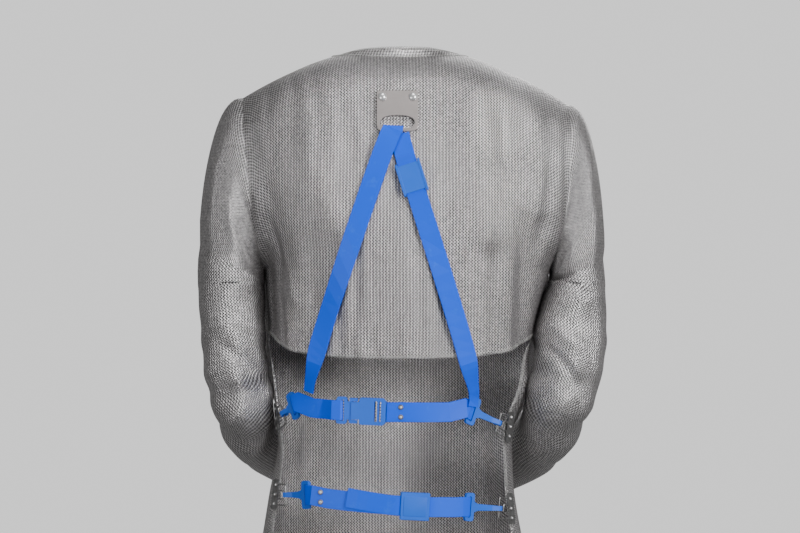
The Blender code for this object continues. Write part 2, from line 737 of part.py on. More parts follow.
def solid_of(curve, name, finish, placed):
    """A curve made into a welded mesh, so that it can be cut and joined."""
    guide = bpy.data.objects.new(name + "_outline", curve)
    collection.objects.link(guide)
    graph = bpy.context.evaluated_depsgraph_get()
    data = bpy.data.meshes.new_from_object(guide.evaluated_get(graph))
    bpy.data.objects.remove(guide, do_unlink=True)
    mesh = bmesh.new()
    mesh.from_mesh(data)
    bmesh.ops.remove_doubles(mesh, verts=mesh.verts, dist=1e-6)
    mesh.to_mesh(data)
    mesh.free()
    data.name = name
    data.materials.clear()
    made = add_object(name, data, finish)
    made.matrix_world = placed
    return made


def flat_piece(name, outlines, thickness, finish, placed):
    """A plate cut to outlines, the first outer and the rest holes."""
    curve = bpy.data.curves.new(name, "CURVE")
    curve.dimensions = "2D"
    curve.fill_mode = "BOTH"
    curve.extrude = thickness / 2
    for outline in outlines:
        spline = curve.splines.new("POLY")
        spline.points.add(len(outline) - 1)
        for point, (x, y) in zip(spline.points, outline):
            point.co = (x, y, 0, 1)
        spline.use_cyclic_u = True
    return solid_of(curve, name, finish, placed)


def wire(name, points, radius, finish):
    """A round wire through points, with closed ends."""
    curve = bpy.data.curves.new(name, "CURVE")
    curve.dimensions = "3D"
    curve.bevel_depth = radius
    curve.bevel_resolution = 1
    curve.use_fill_caps = True
    spline = curve.splines.new("POLY")
    spline.points.add(len(points) - 1)
    for point, place in zip(spline.points, points):
        point.co = (*place, 1)
    return solid_of(curve, name, finish, Matrix.Identity(4))


def join(target, others):
    """Fuses others into the target and leaves them out of the render."""
    for other in others:
        cut = target.modifiers.new(other.name, "BOOLEAN")
        cut.operation = "UNION"
        cut.solver = "EXACT"
        cut.object = other
        hide(other)


def subtract(target, other):
    cut = target.modifiers.new(other.name, "BOOLEAN")
    cut.operation = "DIFFERENCE"
    cut.solver = "EXACT"
    cut.object = other
    hide(other)


def hide(helper):
    collection.objects.unlink(helper)
    cutters.objects.link(helper)
    helper.hide_render = True
    helper.display_type = "WIRE"


def box(name, size, finish, placed):
    """A box with its size along the frame's X, Y and Z."""
    mesh = bmesh.new()
    bmesh.ops.create_cube(mesh, size=1.0)
    bmesh.ops.scale(mesh, vec=size, verts=mesh.verts)
    data = bpy.data.meshes.new(name)
    mesh.to_mesh(data)
    mesh.free()
    made = add_object(name, data, finish)
    made.matrix_world = placed
    return made


def rivet(name, place, normal, radius, height, finish):
    """A low domed head, turned round its middle."""
    profile = [(0.0, 1.0), (0.55, 0.92), (0.85, 0.62), (1.0, 0.25), (1.0, 0.0), (0.0, 0.0)]
    mesh = bmesh.new()
    points = [(radius * x, 0.0, height * z) for x, z in profile]
    verts = [mesh.verts.new(point) for point in points]
    for a, b in zip(verts, verts[1:]):
        mesh.edges.new((a, b))
    data = bpy.data.meshes.new(name)
    mesh.to_mesh(data)
    mesh.free()
    made = add_object(name, data, finish)
    turn = made.modifiers.new("turned", "SCREW")
    turn.steps = turn.render_steps = RIVET_SIDES
    turn.use_merge_vertices = True
    turn.merge_threshold = 0.00005
    turn.use_normal_calculate = True
    turn.use_normal_flip = True
    made.matrix_world = frame_of(place, normal.orthogonal(), normal.cross(normal.orthogonal()))
    return made


def along_points(points, count):
    """Evenly spaced points on a smooth curve through a few named ones."""
    found = []
    for k in range(count + 1):
        place = k / count * (len(points) - 1)
        i = min(int(place), len(points) - 2)
        t = place - i
        p = [points[min(max(i + j, 0), len(points) - 1)] for j in (-1, 0, 1, 2)]
        found.append(
            0.5 * (2 * p[1] + (p[2] - p[0]) * t + (2 * p[0] - 5 * p[1] + 4 * p[2] - p[3]) * t**2
                   + (3 * p[1] - p[0] - 3 * p[2] + p[3]) * t**3)
        )
    return found


def back_y(x, z):
    """Where the back's outer surface lies, folds included."""
    if z > ARMPIT_Z:
        return depth_at(BACK, x, z) - fold_height(BACK, x, z)
    share = min(abs(x) / half_width(LEFT if x < 0 else RIGHT, z), 1.0)
    depth = smooth(BODY, "back", z) * (1 - share**ROUNDNESS) ** (1 / ROUNDNESS)
    return -depth - fold_height(BACK, x, z)


def belt_point(belt, x, out=0.0):
    """The belt's middle line, moved out by `out`, at a place across."""
    share = (x - belt.left_hook) / (belt.right_hook - belt.left_hook)
    z = mix(belt.left_z, belt.right_z, share) - BELT_SAG * (1 - (2 * share - 1) ** 2)
    across = (x - belt.middle) / belt.half
    y = -belt.depth * math.sqrt(max(1 - across**2, 0.0))
    normal = Vector((across / belt.half, y / belt.depth**2, 0)).normalized()
    return Vector((x, y, z)) + normal * out, normal


def belt_frame(belt, x, out=0.0):
    """A frame on the belt with X along it to the right, Y up and Z outwards."""
    step = 0.002
    along = belt_point(belt, x + step, out)[0] - belt_point(belt, x - step, out)[0]
    return frame_of(belt_point(belt, x, out)[0], along, UP)


def on_strap(points, x, out):
    """A place across on a strap's middle line, moved out, and the outward direction there."""
    a, b = next((p, q) for p, q in zip(points, points[1:]) if p.x <= x <= q.x)
    normal = (b - a).cross(UP).normalized()
    return a.lerp(b, (x - a.x) / (b.x - a.x)) + normal * out, normal


def build_plate(steel):
    top_y = back_y(PLATE_MIDDLE_X, PLATE_TOP_Z) - SEAM - PLATE_THICK / 2 - STRAP_LIFT
    low_z = PLATE_TOP_Z - PLATE_HEIGHT
    low_y = back_y(PLATE_MIDDLE_X, low_z) - 2 * SEAM - STRAP - STRAP_LIFT - PLATE_THICK / 2
    up = Vector((0, top_y - low_y, PLATE_TOP_Z - low_z))
    middle = Vector((PLATE_MIDDLE_X, (top_y + low_y) / 2, (PLATE_TOP_Z + low_z) / 2))
    placed = frame_of(middle, Vector((1, 0, 0)), up)
    half_w, half_h = PLATE_WIDTH / 2, PLATE_HEIGHT / 2
    cut_x, cut_z = PLATE_CHAMFER
    outline = [(half_w - cut_x, half_h), (-half_w + cut_x, half_h), (-half_w, half_h - cut_z)]
    for side, start in ((-1, math.pi), (1, 1.5 * math.pi)):
        for k in range(4):
            angle = start + k / 3 * math.pi / 2
            outline.append((side * (half_w - PLATE_CORNER) + PLATE_CORNER * math.cos(angle),
                            PLATE_CORNER - half_h + PLATE_CORNER * math.sin(angle)))
    outline.append((half_w, half_h - cut_z))
    slot_half, slot_h = PLATE_SLOT[0] / 2, PLATE_SLOT[1]
    foot = PLATE_BAR - half_h
    foot_x, foot_z = SLOT_FOOT
    slot = [(foot_x - slot_half, foot), (slot_half - foot_x, foot), (slot_half, foot + foot_z)]
    for k in range(7):
        angle = math.pi * k / 6
        slot.append((0.98 * slot_half * math.cos(angle),
                     foot + slot_h - SLOT_ARCH + SLOT_ARCH * math.sin(angle)))
    slot.append((-slot_half, foot + foot_z))
    flat_piece("strap_plate", [outline, slot], PLATE_THICK, steel, placed)
    for name, side in (("plate_rivet_left", -1), ("plate_rivet_right", 1)):
        spot = (side * PLATE_RIVET_APART / 2, half_h - PLATE_RIVET_DOWN, PLATE_THICK / 2 + SEAM)
        seat = placed @ Vector(spot)
        rivet(name, seat, placed.col[2].xyz, PLATE_RIVET_RADIUS, PLATE_RIVET_HEIGHT, steel)
    return placed


def rest(x, z, half=STRAP_WIDTH / 2):
    """Where a flat strap's middle touches the back, and its slope across, clear of folds."""
    step = half / 2
    slope = (back_y(x + half, z) - back_y(x - half, z)) / (2 * half)
    return min(back_y(x + k * step, z) - slope * k * step for k in range(-2, 3)), slope


def brace_points(table, end, end_across, lifts):
    """A brace's middle line on the mail and on to its end by the belt, and its directions across."""
    flat = along_points([Vector((p.x, 0, p.z)) for p in table], BRACE_STEPS)
    leaves = BACK_HEM_Z - BACK_HEM_DROP - 0.001
    points, across = [], []
    for k, p in enumerate(flat):
        y, slope = rest(p.x, max(p.z, leaves))
        t = ease((leaves - p.z) / (leaves - end.z))
        points.append(Vector((p.x, mix(y - smooth(lifts, "lift", p.z), end.y, t), p.z)))
        tangent = (flat[min(k + 1, BRACE_STEPS)] - flat[max(k - 1, 0)]).normalized()
        level = Vector((1, slope, 0)).normalized().lerp(end_across, t)
        across.append((level - tangent * level.dot(tangent)).normalized())
    return points, across


def hold_straight(points, across, placed, reach):
    """Lays the part of a strap that a slider holds along the slider's own middle line."""
    for k, point in enumerate(points):
        local = placed.inverted() @ point
        if abs(local.y) < reach:
            points[k] = placed @ Vector((0, local.y, 0))
            across[k] = placed.col[0].xyz


def tapered(points, taper):
    return [mix(STRAP_WIDTH, taper.width, ease((taper.height - p.z) / taper.drop)) for p in points]


def build_braces(blue, plate, belt_left):
    """The left brace lies over the plate's bar and the right brace, and ends behind the belt."""
    left_end, belt_out = on_strap(belt_left, BRACE_LEFT[-1].x, -STRAP - 3 * SEAM)
    points, across = brace_points(BRACE_LEFT, left_end, UP.cross(belt_out), LEFT_LIFTS)
    bar_top = PLATE_BAR - PLATE_HEIGHT / 2
    over = PLATE_THICK / 2 + SEAM + STRAP / 2
    over_bar = [(bar_top + STRAP_BEND, 0.0), (bar_top + 2 * STRAP_BEND / 3, over + BAR_CLEARANCE),
                (bar_top - PLATE_BAR / 2, over + BAR_CLEARANCE)]
    points[:1] = [plate @ Vector((BAR_CROSSING_X, y, z)) for y, z in over_bar]
    across[:1] = [plate.col[0].xyz] * len(over_bar)
    ribbon("brace_strap_left", points, across, tapered(points, LEFT_TAPER), STRAP, blue)
    over_belt = HOOK_THICK / 2 + 1.5 * STRAP + 5 * SEAM
    hook = hook_frame(WAIST, RIGHT)
    ends = [hook @ Vector((x, y, over_belt + SEAM * (1 - k))) for k, (x, y) in enumerate(RIGHT_ENDS)]
    points, across = brace_points(BRACE_RIGHT, ends[1], hook.col[0].xyz, RIGHT_LIFTS)
    points[-2:] = ends
    k = min(range(1, len(points) - 1), key=lambda i: abs(points[i].z - BRACE_SLIDER_Z))
    placed = frame_of(points[k], across[k], points[k - 1] - points[k + 1])
    hold_straight(points, across, placed, BRACE_HELD)
    ribbon("brace_strap_right", points, across, tapered(points, RIGHT_TAPER), STRAP, blue)
    slider = keeper("brace_slider", placed, *BRACE_SLIDER, blue, STRAP, False)
    rail_width, rail_length = BRACE_RAIL
    beside = STRAP_WIDTH / 2 + 2 * SEAM + rail_width / 2
    rail_size = (rail_width, rail_length, STRAP + 2 * SLIDER_WALL + 2 * RAIL_RISE)
    spots = [placed @ Matrix.Translation((side * beside, 0, 0)) for side in (LEFT, RIGHT)]
    join(slider, [box(f"brace_slider_rail_{k}", rail_size, blue, spot) for k, spot in enumerate(spots)])


def keeper(name, placed, width, length, blue, straps, along_x):
    """A slider: a flat block with a slot right through it for the straps."""
    thick = straps + 2 * SLIDER_WALL
    body = box(name, (length, width, thick) if along_x else (width, length, thick), blue, placed)
    across, through = STRAP_WIDTH + 4 * SEAM, straps + 3 * SEAM
    tunnel = (length * 2, across, through) if along_x else (across, length * 2, through)
    subtract(body, box(name + "_tunnel", tunnel, blue, placed))
    return body


def skirt_face(s, v):
    """Where the flat faces of the front's skirt lie, between the points of its net."""
    column, row = (s + 1) * COLUMNS / 2, (v - 2) * SKIRT_ROWS
    c, r = min(int(column), COLUMNS - 1), min(int(row), SKIRT_ROWS - 1)
    ends = []
    for level in (2 + r / SKIRT_ROWS, 2 + (r + 1) / SKIRT_ROWS):
        left, right = (panel_point(FRONT, 2 * k / COLUMNS - 1, level) for k in (c, c + 1))
        ends.append(left.lerp(right, column - c))
    return ends[0].lerp(ends[1], row - r)


def eye_frame(eye):
    """On the front's free edge: Z outwards, Y up and X away from the edge on the right-hand side."""
    v = 2 + (BACK_HEM_Z - eye.height) / (BACK_HEM_Z - APRON_HEM_Z)
    width, height, thick = EYE_PLATE
    rise = height / 2 / (BACK_HEM_Z - APRON_HEM_Z)
    edge = skirt_face(eye.hand, v)
    near = 0.1
    reach_in = near * width / (edge - skirt_face(eye.hand * (1 - near), v)).length
    along = edge - skirt_face(eye.hand * (1 - reach_in), v)
    up = skirt_face(eye.hand, v - rise) - skirt_face(eye.hand, v + rise)
    placed = frame_of(edge, -eye.hand * along, up)
    under = [skirt_face(eye.hand * (1 - reach_in * i / 4), v + rise * j / 3)
             for i in range(5) for j in range(-3, 4)]
    lift = max((placed.inverted() @ point).z for point in under) + SEAM + thick / 2
    placed.translation = placed @ Vector((eye.hand * (width / 2 - EYE_OVERHANG), 0, lift))
    return placed


def loop_root(eye):
    """Middle of the eye plate's free edge."""
    return eye_frame(eye) @ Vector((-eye.hand * EYE_PLATE[0] / 2, 0, 0))


def hook_middle(belt, hand):
    x = belt.left_hook if hand == LEFT else belt.right_hook
    return belt_point(belt, x, -(HOOK_THICK / 2 + SEAM + STRAP / 2))[0]


def eye_for(belt, hand):
    name = ("waist" if belt is WAIST else "hip") + ("_left" if hand == LEFT else "_right")
    return next(eye for eye in EYES if eye.name == name)


def hook_frame(belt, hand):
    """On the hook's slotted bar: X to the garment's right, Y up the bar and Z away from the wearer."""
    middle = hook_middle(belt, hand)
    return frame_of(middle, hand * (loop_root(eye_for(belt, hand)) - middle), UP)


def build_eye(eye, belt, steel):
    """A plate riveted on the mail's edge, with two wire loops welded to it that face the hook."""
    placed = eye_frame(eye)
    width, height, thick = EYE_PLATE
    name = "eye_plate_" + eye.name
    plate = flat_piece(name, [rounded(width, height, EYE_CORNER)], thick, steel, placed)
    root = loop_root(eye)
    towards = (hook_middle(belt, eye.hand) - root).normalized()
    up = (UP - towards * UP.dot(towards)).normalized()
    foot = -eye.hand * (width / 2 - LOOP_ROOT_DEPTH)
    loops = []
    for reach_out, half in LOOPS:
        arc = [(reach_out - LOOP_CORNER * (1 - math.sin(a)), half - LOOP_CORNER * (1 - math.cos(a)))
               for a in (0, math.pi / 6, math.pi / 3, math.pi / 2)]
        bow = [root + towards * x + up * y for x, y in (*arc, *((x, -y) for x, y in reversed(arc)))]
        half_foot = half / placed.col[1].xyz.dot(up)
        ends = [placed @ Vector((foot, side * half_foot, 0)) for side in (1, -1)]
        loops.append(wire(name + "_loop", [ends[0], *bow, ends[1]], LOOP_WIRE, steel))
    join(plate, loops)


def build_hook(name, belt, hand, blue):
    """A slotted bar for the belt and an arm that curls round the wire loop."""
    placed = hook_frame(belt, hand)
    bar_corner, slot_corner = HOOK_CORNERS
    slot = rounded(*HOOK_SLOT, slot_corner, middle=(-hand * HOOK_SLOT_SHIFT, 0))
    bar = flat_piece(name, [rounded(*HOOK_BAR, bar_corner), slot], HOOK_THICK, blue, placed)
    seat = HOOK_CURL - HOOK_ARM_THICK / 2 - LOOP_WIRE - SEAM
    wire_x = (loop_root(eye_for(belt, hand)) - hook_middle(belt, hand)).length - LOOPS[0][0] - seat
    path = [(part.out, 0.0, part.width) for part in HOOK_ARM]
    path += [(wire_x - before, share * HOOK_CURL, wide) for before, share, wide in HOOK_NECK]
    for degrees in range(90, -151, -30):
        angle = math.radians(degrees)
        path.append((wire_x + HOOK_CURL * math.cos(angle), HOOK_CURL * math.sin(angle), HOOK_CURL_WIDTH))
    centres = [Vector((hand * x, 0, z)) for x, z, _ in path]
    arm = ribbon(name + "_arm", centres, [Vector((0, 1, 0))] * len(path), [w for _, _, w in path],
                 HOOK_ARM_THICK, blue, placed)
    join(bar, [arm])


def into_slot(placed, thickness, limb_x, slot_x):
    """Points that take a strap over a slot's inner limb and down into the slot."""
    over = thickness / 2 + SEAM + STRAP / 2
    inwards = 1 if slot_x > limb_x else -1
    local = [(limb_x - inwards * 0.0065, over + SEAM), (limb_x, over), (slot_x - inwards * 0.0022, over),
             (slot_x - inwards * 0.0003, over * 0.72), (slot_x, 0.0)]
    return [placed @ Vector((x, 0, z)) for x, z in local]


def hook_end(belt, hand):
    """The end of a belt in its hook's slot, from the belt on, and the strap's directions up."""
    placed = hook_frame(belt, hand)
    points = into_slot(placed, HOOK_THICK, -hand * HOOK_LIMB, -hand * HOOK_SLOT_SHIFT)
    return points, [placed.col[1].xyz] * len(points)


def belt_run(belt, start, end, steps):
    return [belt_point(belt, mix(start, end, k / steps))[0] for k in range(steps + 1)]


def strap(name, points, ups, blue):
    ribbon(name, points, ups, [STRAP_WIDTH] * len(points), STRAP, blue)


def build_waist_belt(blue, steel):
    """Two straps between the hooks and the buckle. Returns the left one's middle line."""
    buckle = belt_frame(WAIST, BUCKLE_X, BUCKLE_LIFT)
    ends, ups = hook_end(WAIST, LEFT)
    plug_end = into_slot(buckle, PLUG_THICK, PLUG_U[0] + 0.0010, PLUG_SLOT_U)
    run = belt_run(WAIST, ends[0].x + BELT_BLEND, plug_end[0].x - BELT_BLEND / 2, 2)
    left_line = ends[::-1] + run + plug_end
    strap("waist_belt_left", left_line, ups + [UP] * (len(run) + len(plug_end)), blue)
    socket_end = [buckle @ Vector((SOCKET_U[1] + u, 0, z)) for u, z in ((0.0008, 0.0), (0.0050, -0.0003))]
    ends, ups = hook_end(WAIST, RIGHT)
    run = belt_run(WAIST, socket_end[-1].x + BELT_BLEND / 2, ends[0].x - BELT_BLEND, 4)
    right_line = socket_end + run + ends
    strap("waist_belt_right", right_line, [UP] * (len(socket_end) + len(run)) + ups, blue)
    build_buckle(buckle, blue)
    belt_rivets("waist", right_line, steel)
    return left_line


def build_buckle(placed, blue):
    """The plug with its prongs and the socket that it clicks into."""
    start, end = PLUG_U
    body = rounded(end - start, BUCKLE_HEIGHT, 0.0030, middle=((start + end) / 2, 0))
    slot = rounded(*PLUG_SLOT, 0.0012, middle=(PLUG_SLOT_U, 0))
    plug = flat_piece("waist_buckle_plug", [body, slot], PLUG_THICK, blue, placed)
    parts = []
    for k, part in enumerate(PLUG_PARTS):
        outline = rounded(part.width, part.height, 0.0008, 2, (end + part.past, part.up))
        thick = PLUG_THICK - PLUG_STEP * (k + 1)
        parts.append(flat_piece(f"plug_part_{k}", [outline], thick, blue, placed))
    join(plug, parts)
    start, end = SOCKET_U
    half = BUCKLE_HEIGHT / 2
    mouth, mouth_half = SOCKET_MOUTH
    small, large = SOCKET_CORNERS
    lower = [(start, -mouth_half), (start + mouth, -mouth_half), (start + mouth, small - half),
             (start + mouth + small, -half), (end - large, -half), (end, large - half)]
    outline = lower + [(x, -y) for x, y in reversed(lower)]
    holes = [rounded(width, SOCKET_WINDOW_HEIGHT, 0.0008, 2, (end - at, 0)) for width, at in SOCKET_WINDOWS]
    flat_piece("waist_buckle_socket", [outline, *holes], SOCKET_THICK, blue, placed)


def belt_rivets(name, line, steel):
    for part, side in (("upper", 1), ("lower", -1)):
        seat, normal = on_strap(line, BELT_RIVETS[name], STRAP / 2 + SEAM)
        rivet(f"{name}_rivet_{part}", seat + UP * side * RIVET_UP, normal, RIVET_RADIUS, RIVET_HEIGHT, steel)


def build_hip_belt(blue, steel):
    """The inner strap ends in the slider. The outer one lies on it and runs on to the other hook."""
    start, end = HIP_SLIDER_X
    half = (end - start) / 2
    held = half + 0.004
    layer = STRAP + SEAM
    slider = belt_frame(HIP, (start + end) / 2, layer / 2)
    mouth = (slider @ Vector((-held, 0, 0))).x - BELT_BLEND / 2
    shared = [mix(HIP_OVERLAP_X, mouth, k / 4) for k in range(5)]
    ends, ups = hook_end(HIP, LEFT)
    inner = [belt_point(HIP, x)[0] for x in (ends[0].x + BELT_BLEND, *shared)]
    inner += [slider @ Vector((u, 0, -layer / 2)) for u in (-held, half - HIP_END_INSIDE)]
    left_line = ends[::-1] + inner
    strap("hip_belt_left", left_line, ups + [UP] * len(inner), blue)
    outer = [belt_point(HIP, x, layer)[0] + UP * HIP_OVERLAP_RISE * (1 - k / 4)
             for k, x in enumerate(shared)]
    outer += [slider @ Vector((u, 0, layer / 2)) for u in (-held, held)]
    ends, ups = hook_end(HIP, RIGHT)
    outer += belt_run(HIP, outer[-1].x + BELT_BLEND / 2, ends[0].x - BELT_BLEND / 2, 1)
    strap("hip_belt_right", outer + ends, [UP] * len(outer) + ups, blue)
    keeper("hip_slider", slider, HIP_SLIDER_WIDTH, end - start, blue, 2 * STRAP + SEAM, True)
    belt_rivets("hip", left_line, steel)


clear_scene()
ring_mail = material("ring_mail", (0.33, 0.32, 0.31), 0.38, 0.9)
blue_plastic = material("blue_plastic", (0.043, 0.223, 0.753), 0.42, 0.0)
plate_steel = material("plate_steel", (0.42, 0.39, 0.37), 0.35, 1.0)
dark_steel = material("dark_steel", (0.16, 0.15, 0.14), 0.35, 1.0)
build_panel("back_panel", BACK, ring_mail)
build_panel("front_panel", FRONT, ring_mail)
build_sleeve("sleeve_left", LEFT, ring_mail)
build_sleeve("sleeve_right", RIGHT, ring_mail)
build_band("neck_band", ring_mail)
plate_frame = build_plate(plate_steel)
waist_left = build_waist_belt(blue_plastic, dark_steel)
build_braces(blue_plastic, plate_frame, waist_left)
build_hip_belt(blue_plastic, dark_steel)
for eye in EYES:
    around = WAIST if eye.name.startswith("waist") else HIP
    build_eye(eye, around, dark_steel)
    build_hook(eye.name.replace("_", "_hook_"), around, eye.hand, blue_plastic)
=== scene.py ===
"""Looks of a chainmail apron with sleeves: ring mail, plastic braces and belts, steel fittings."""

import math
from collections import namedtuple

import bmesh
import bpy
import numpy as np
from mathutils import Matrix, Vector


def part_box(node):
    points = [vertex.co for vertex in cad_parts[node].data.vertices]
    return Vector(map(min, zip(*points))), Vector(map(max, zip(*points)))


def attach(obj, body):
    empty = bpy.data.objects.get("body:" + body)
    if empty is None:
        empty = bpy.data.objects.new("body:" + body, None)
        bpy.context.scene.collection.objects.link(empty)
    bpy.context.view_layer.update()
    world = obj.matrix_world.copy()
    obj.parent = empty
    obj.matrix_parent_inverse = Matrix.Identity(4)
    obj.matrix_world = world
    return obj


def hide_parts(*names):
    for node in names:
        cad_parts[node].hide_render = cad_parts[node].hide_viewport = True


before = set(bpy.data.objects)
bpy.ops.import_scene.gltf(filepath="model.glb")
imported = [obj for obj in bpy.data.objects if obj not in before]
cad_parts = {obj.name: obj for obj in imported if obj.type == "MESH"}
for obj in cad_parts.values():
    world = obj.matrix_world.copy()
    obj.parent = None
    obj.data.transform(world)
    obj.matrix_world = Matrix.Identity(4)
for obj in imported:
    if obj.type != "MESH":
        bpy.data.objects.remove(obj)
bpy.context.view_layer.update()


# Studio: a pale floor in a pale room, wide soft lights and a camera level with the middle of the back.
# The garment hangs clear of the floor, as if it were worn. The camera alone sees the room as bright.
PIXEL = 0.0013          # metres of the garment for one pixel of the photo
PHOTO_WIDTH = 800
SENSOR = 36.0
CAMERA_AWAY = 3.5
GARMENT_PLANE = -0.02
VIEW_MIDDLE = -0.26845
FLOOR_Z = -1.30
FLOOR_RADIUS = 6.0
ROOM_LIGHT = 0.21       # the room's own light, and how bright the camera sees the room
ROOM_SEEN = 1.06


def add(name, data):
    made = bpy.data.objects.new(name, data)
    bpy.context.scene.collection.objects.link(made)
    return made


def soft_light(name, place, target, size, watts):
    """A square area light that faces its target."""
    data = bpy.data.lights.new(name, "AREA")
    data.shape = "SQUARE"
    data.size = size
    data.energy = watts
    made = add(name, data)
    made.location = place
    made.rotation_euler = (Vector(target) - Vector(place)).to_track_quat("-Z", "Y").to_euler()


class Link:
    """A shader socket. Sums and products of links add their Math nodes."""

    def __init__(self, tree, socket=None):
        self.tree = tree
        self.socket = socket

    def node(self, kind, settings=None, inputs=None, outlet=0):
        """Adds a node: its settings first, then the values or links of its sockets."""
        made = self.tree.nodes.new("ShaderNode" + kind)
        for name, value in (settings or {}).items():
            setattr(made, name, value)
        for name, value in (inputs or {}).items():
            if isinstance(value, Link):
                self.tree.links.new(value.socket, made.inputs[name])
            else:
                made.inputs[name].default_value = value
        return Link(self.tree, made.outputs[outlet] if made.outputs else None)

    def outlet(self, name):
        return Link(self.tree, self.socket.node.outputs[name])

    def math(self, operation, *values):
        return self.node("Math", {"operation": operation}, dict(enumerate(values)))

    def __add__(self, other):
        return self.math("ADD", self, other)

    def __sub__(self, other):
        return self.math("SUBTRACT", self, other)

    def __rsub__(self, other):
        return self.math("SUBTRACT", other, self)

    def __mul__(self, other):
        return self.math("MULTIPLY", self, other)

    def __truediv__(self, other):
        return self.math("DIVIDE", self, other)

    def __pow__(self, other):
        return self.math("POWER", self, other)

    __radd__ = __add__
    __rmul__ = __mul__


def colour_of(level, tint=(1.0, 1.0, 1.0)):
    return tuple(level * part for part in tint) + (1.0,)


def blend_colours(start, share, first, second):
    """A colour between two, by a share from 0 to 1."""
    return start.node("Mix", {"data_type": "RGBA"}, {0: share, 6: first, 7: second}, outlet=2)


def speckle(start, scale, detail=2.0, place=None, roughness=0.5):
    """Smooth noise from 0 to 1 in the object's own metres."""
    place = place or start.node("TexCoord", outlet="Object")
    return start.node("TexNoise", {}, {"Vector": place, "Scale": scale, "Detail": detail,
                                       "Roughness": roughness})


def new_finish(name, build):
    """A material whose shader gets the sockets that build returns."""
    made = bpy.data.materials.new(name)
    made.use_nodes = True
    made.node_tree.nodes.clear()
    start = Link(made.node_tree)
    shader = start.node("BsdfPrincipled", {}, build(start))
    start.node("OutputMaterial", {}, {"Surface": shader})
    return made


def paper(start):
    grain = speckle(start, 90.0)
    return {"Base Color": blend_colours(start, grain, colour_of(0.78), colour_of(0.80)), "Roughness": 0.9}


def mesh_data(name, mesh):
    data = bpy.data.meshes.new(name)
    mesh.to_mesh(data)
    mesh.free()
    return data


def build_floor():
    """A wide round floor, below the level camera's view."""
    mesh = bmesh.new()
    bmesh.ops.create_circle(mesh, cap_ends=True, segments=96, radius=FLOOR_RADIUS)
    bmesh.ops.translate(mesh, verts=mesh.verts, vec=(0, 0, FLOOR_Z))
    data = mesh_data("floor", mesh)
    data.materials.append(new_finish("floor_paper", paper))
    return add("floor", data)


floor = build_floor()
floor.visible_glossy = False
floor.visible_diffuse = False
camera = add("camera", bpy.data.cameras.new("camera"))
camera.data.sensor_width = SENSOR
camera.data.lens = SENSOR * CAMERA_AWAY / (PHOTO_WIDTH * PIXEL)
camera.location = (0, GARMENT_PLANE - CAMERA_AWAY, VIEW_MIDDLE)
camera.rotation_euler = (math.pi / 2, 0, 0)
bpy.context.scene.camera = camera
soft_light("light_left", (-2.1, -2.9, -0.5), (0, 0, -0.35), 1.1, 40)
soft_light("light_right", (2.5, -2.8, 0.35), (0, 0, -0.3), 1.3, 140)
soft_light("light_top", (0.3, -1.3, 2.4), (0, 0, -0.1), 1.2, 36)
soft_light("light_front", (0.6, 3.4, 1.2), (0, 0, -0.5), 2.2, 60)
world = bpy.data.worlds.new("room")
world.use_nodes = True
world.node_tree.nodes.clear()
room = Link(world.node_tree)
seen = room.node("LightPath", outlet="Is Camera Ray")
dim, pale = (room.node("Background", {}, {"Color": colour_of(1.0), "Strength": level})
             for level in (ROOM_LIGHT, ROOM_SEEN))
room.node("OutputWorld", {}, {"Surface": room.node("MixShader", {}, {0: seen, 1: dim, 2: pale})})
bpy.context.scene.world = world


# Back: a short panel of welded ring mail from the neck to mid-back. It is one sheet of rings, each
# through its four neighbours, and it hangs from the shoulders in soft upright folds.
LEFT, RIGHT = -1, 1
BACK, FRONT = -1, 1
ROUNDNESS = 2.3         # how square the body's level section is, 2 for an ellipse
SHOULDER_END = {LEFT: 0.205, RIGHT: 0.219}
ARMPIT_Z = -0.272
BACK_HEM_Z = -0.352     # side ends of the back's hem
BACK_HEM_DROP = 0.032
APRON_HEM_Z = -1.020
NECK_HALF = 0.088
NECK_DROP = {BACK: 0.013, FRONT: 0.084}
NECK_SHARE = 0.40       # share of a panel, from its middle, that ends at the neck
ROUNDING = {BACK: 0.055, FRONT: 0.075}  # height over which the shoulders round down
BULGE_TURN = 0.30       # cosine of the turn from straight ahead at which the front stands out most
EDGE_DEPTH = 0.070      # depth of the curve on which the free edges wrap round the sides
SIDE_SWELL = 0.10       # how much wider the section is between the shoulders and the armpits
TOP_SWELL = 0.05        # and at the shoulders
ROW_BUNCHING = 0.8      # how far the rows of points crowd towards a panel's top and the armpits
HEM_POWER = 2.4         # how flat the middle of the back's hem is
SIDE_BLEND = 0.3        # share of the height over which a panel's side leaves the shoulder's end
MAIL = 0.0016           # thickness of the rings' layer
MERGED = 1e-6           # points nearer than this are one point
RIM_ANGLE = math.radians(65)    # a sharper turn than this keeps its edge

Body = namedtuple("Body", "height left right back front")
BODY = [
    Body(0.020, 0.210, 0.222, 0.082, 0.055),
    Body(-0.058, 0.204, 0.221, 0.099, 0.078),
    Body(-0.117, 0.199, 0.220, 0.116, 0.104),
    Body(-0.200, 0.190, 0.213, 0.127, 0.126),
    Body(-0.272, 0.178, 0.196, 0.125, 0.132),
    Body(-0.325, 0.1730, 0.1805, 0.119, 0.130),
    Body(-0.378, 0.1720, 0.1700, 0.113, 0.125),
    Body(-0.4225, 0.1665, 0.1682, 0.1115, 0.113),
    Body(-0.455, 0.1620, 0.1560, 0.110, 0.1055),
    Body(-0.480, 0.1600, 0.1478, 0.110, 0.103),
    Body(-0.510, 0.160, 0.148, 0.110, 0.102),
    Body(-0.570, 0.172, 0.151, 0.110, 0.107),
    Body(-0.700, 0.190, 0.172, 0.110, 0.120),
    Body(-1.020, 0.205, 0.195, 0.110, 0.130),
]
Ridge = namedtuple("Ridge", "height level")
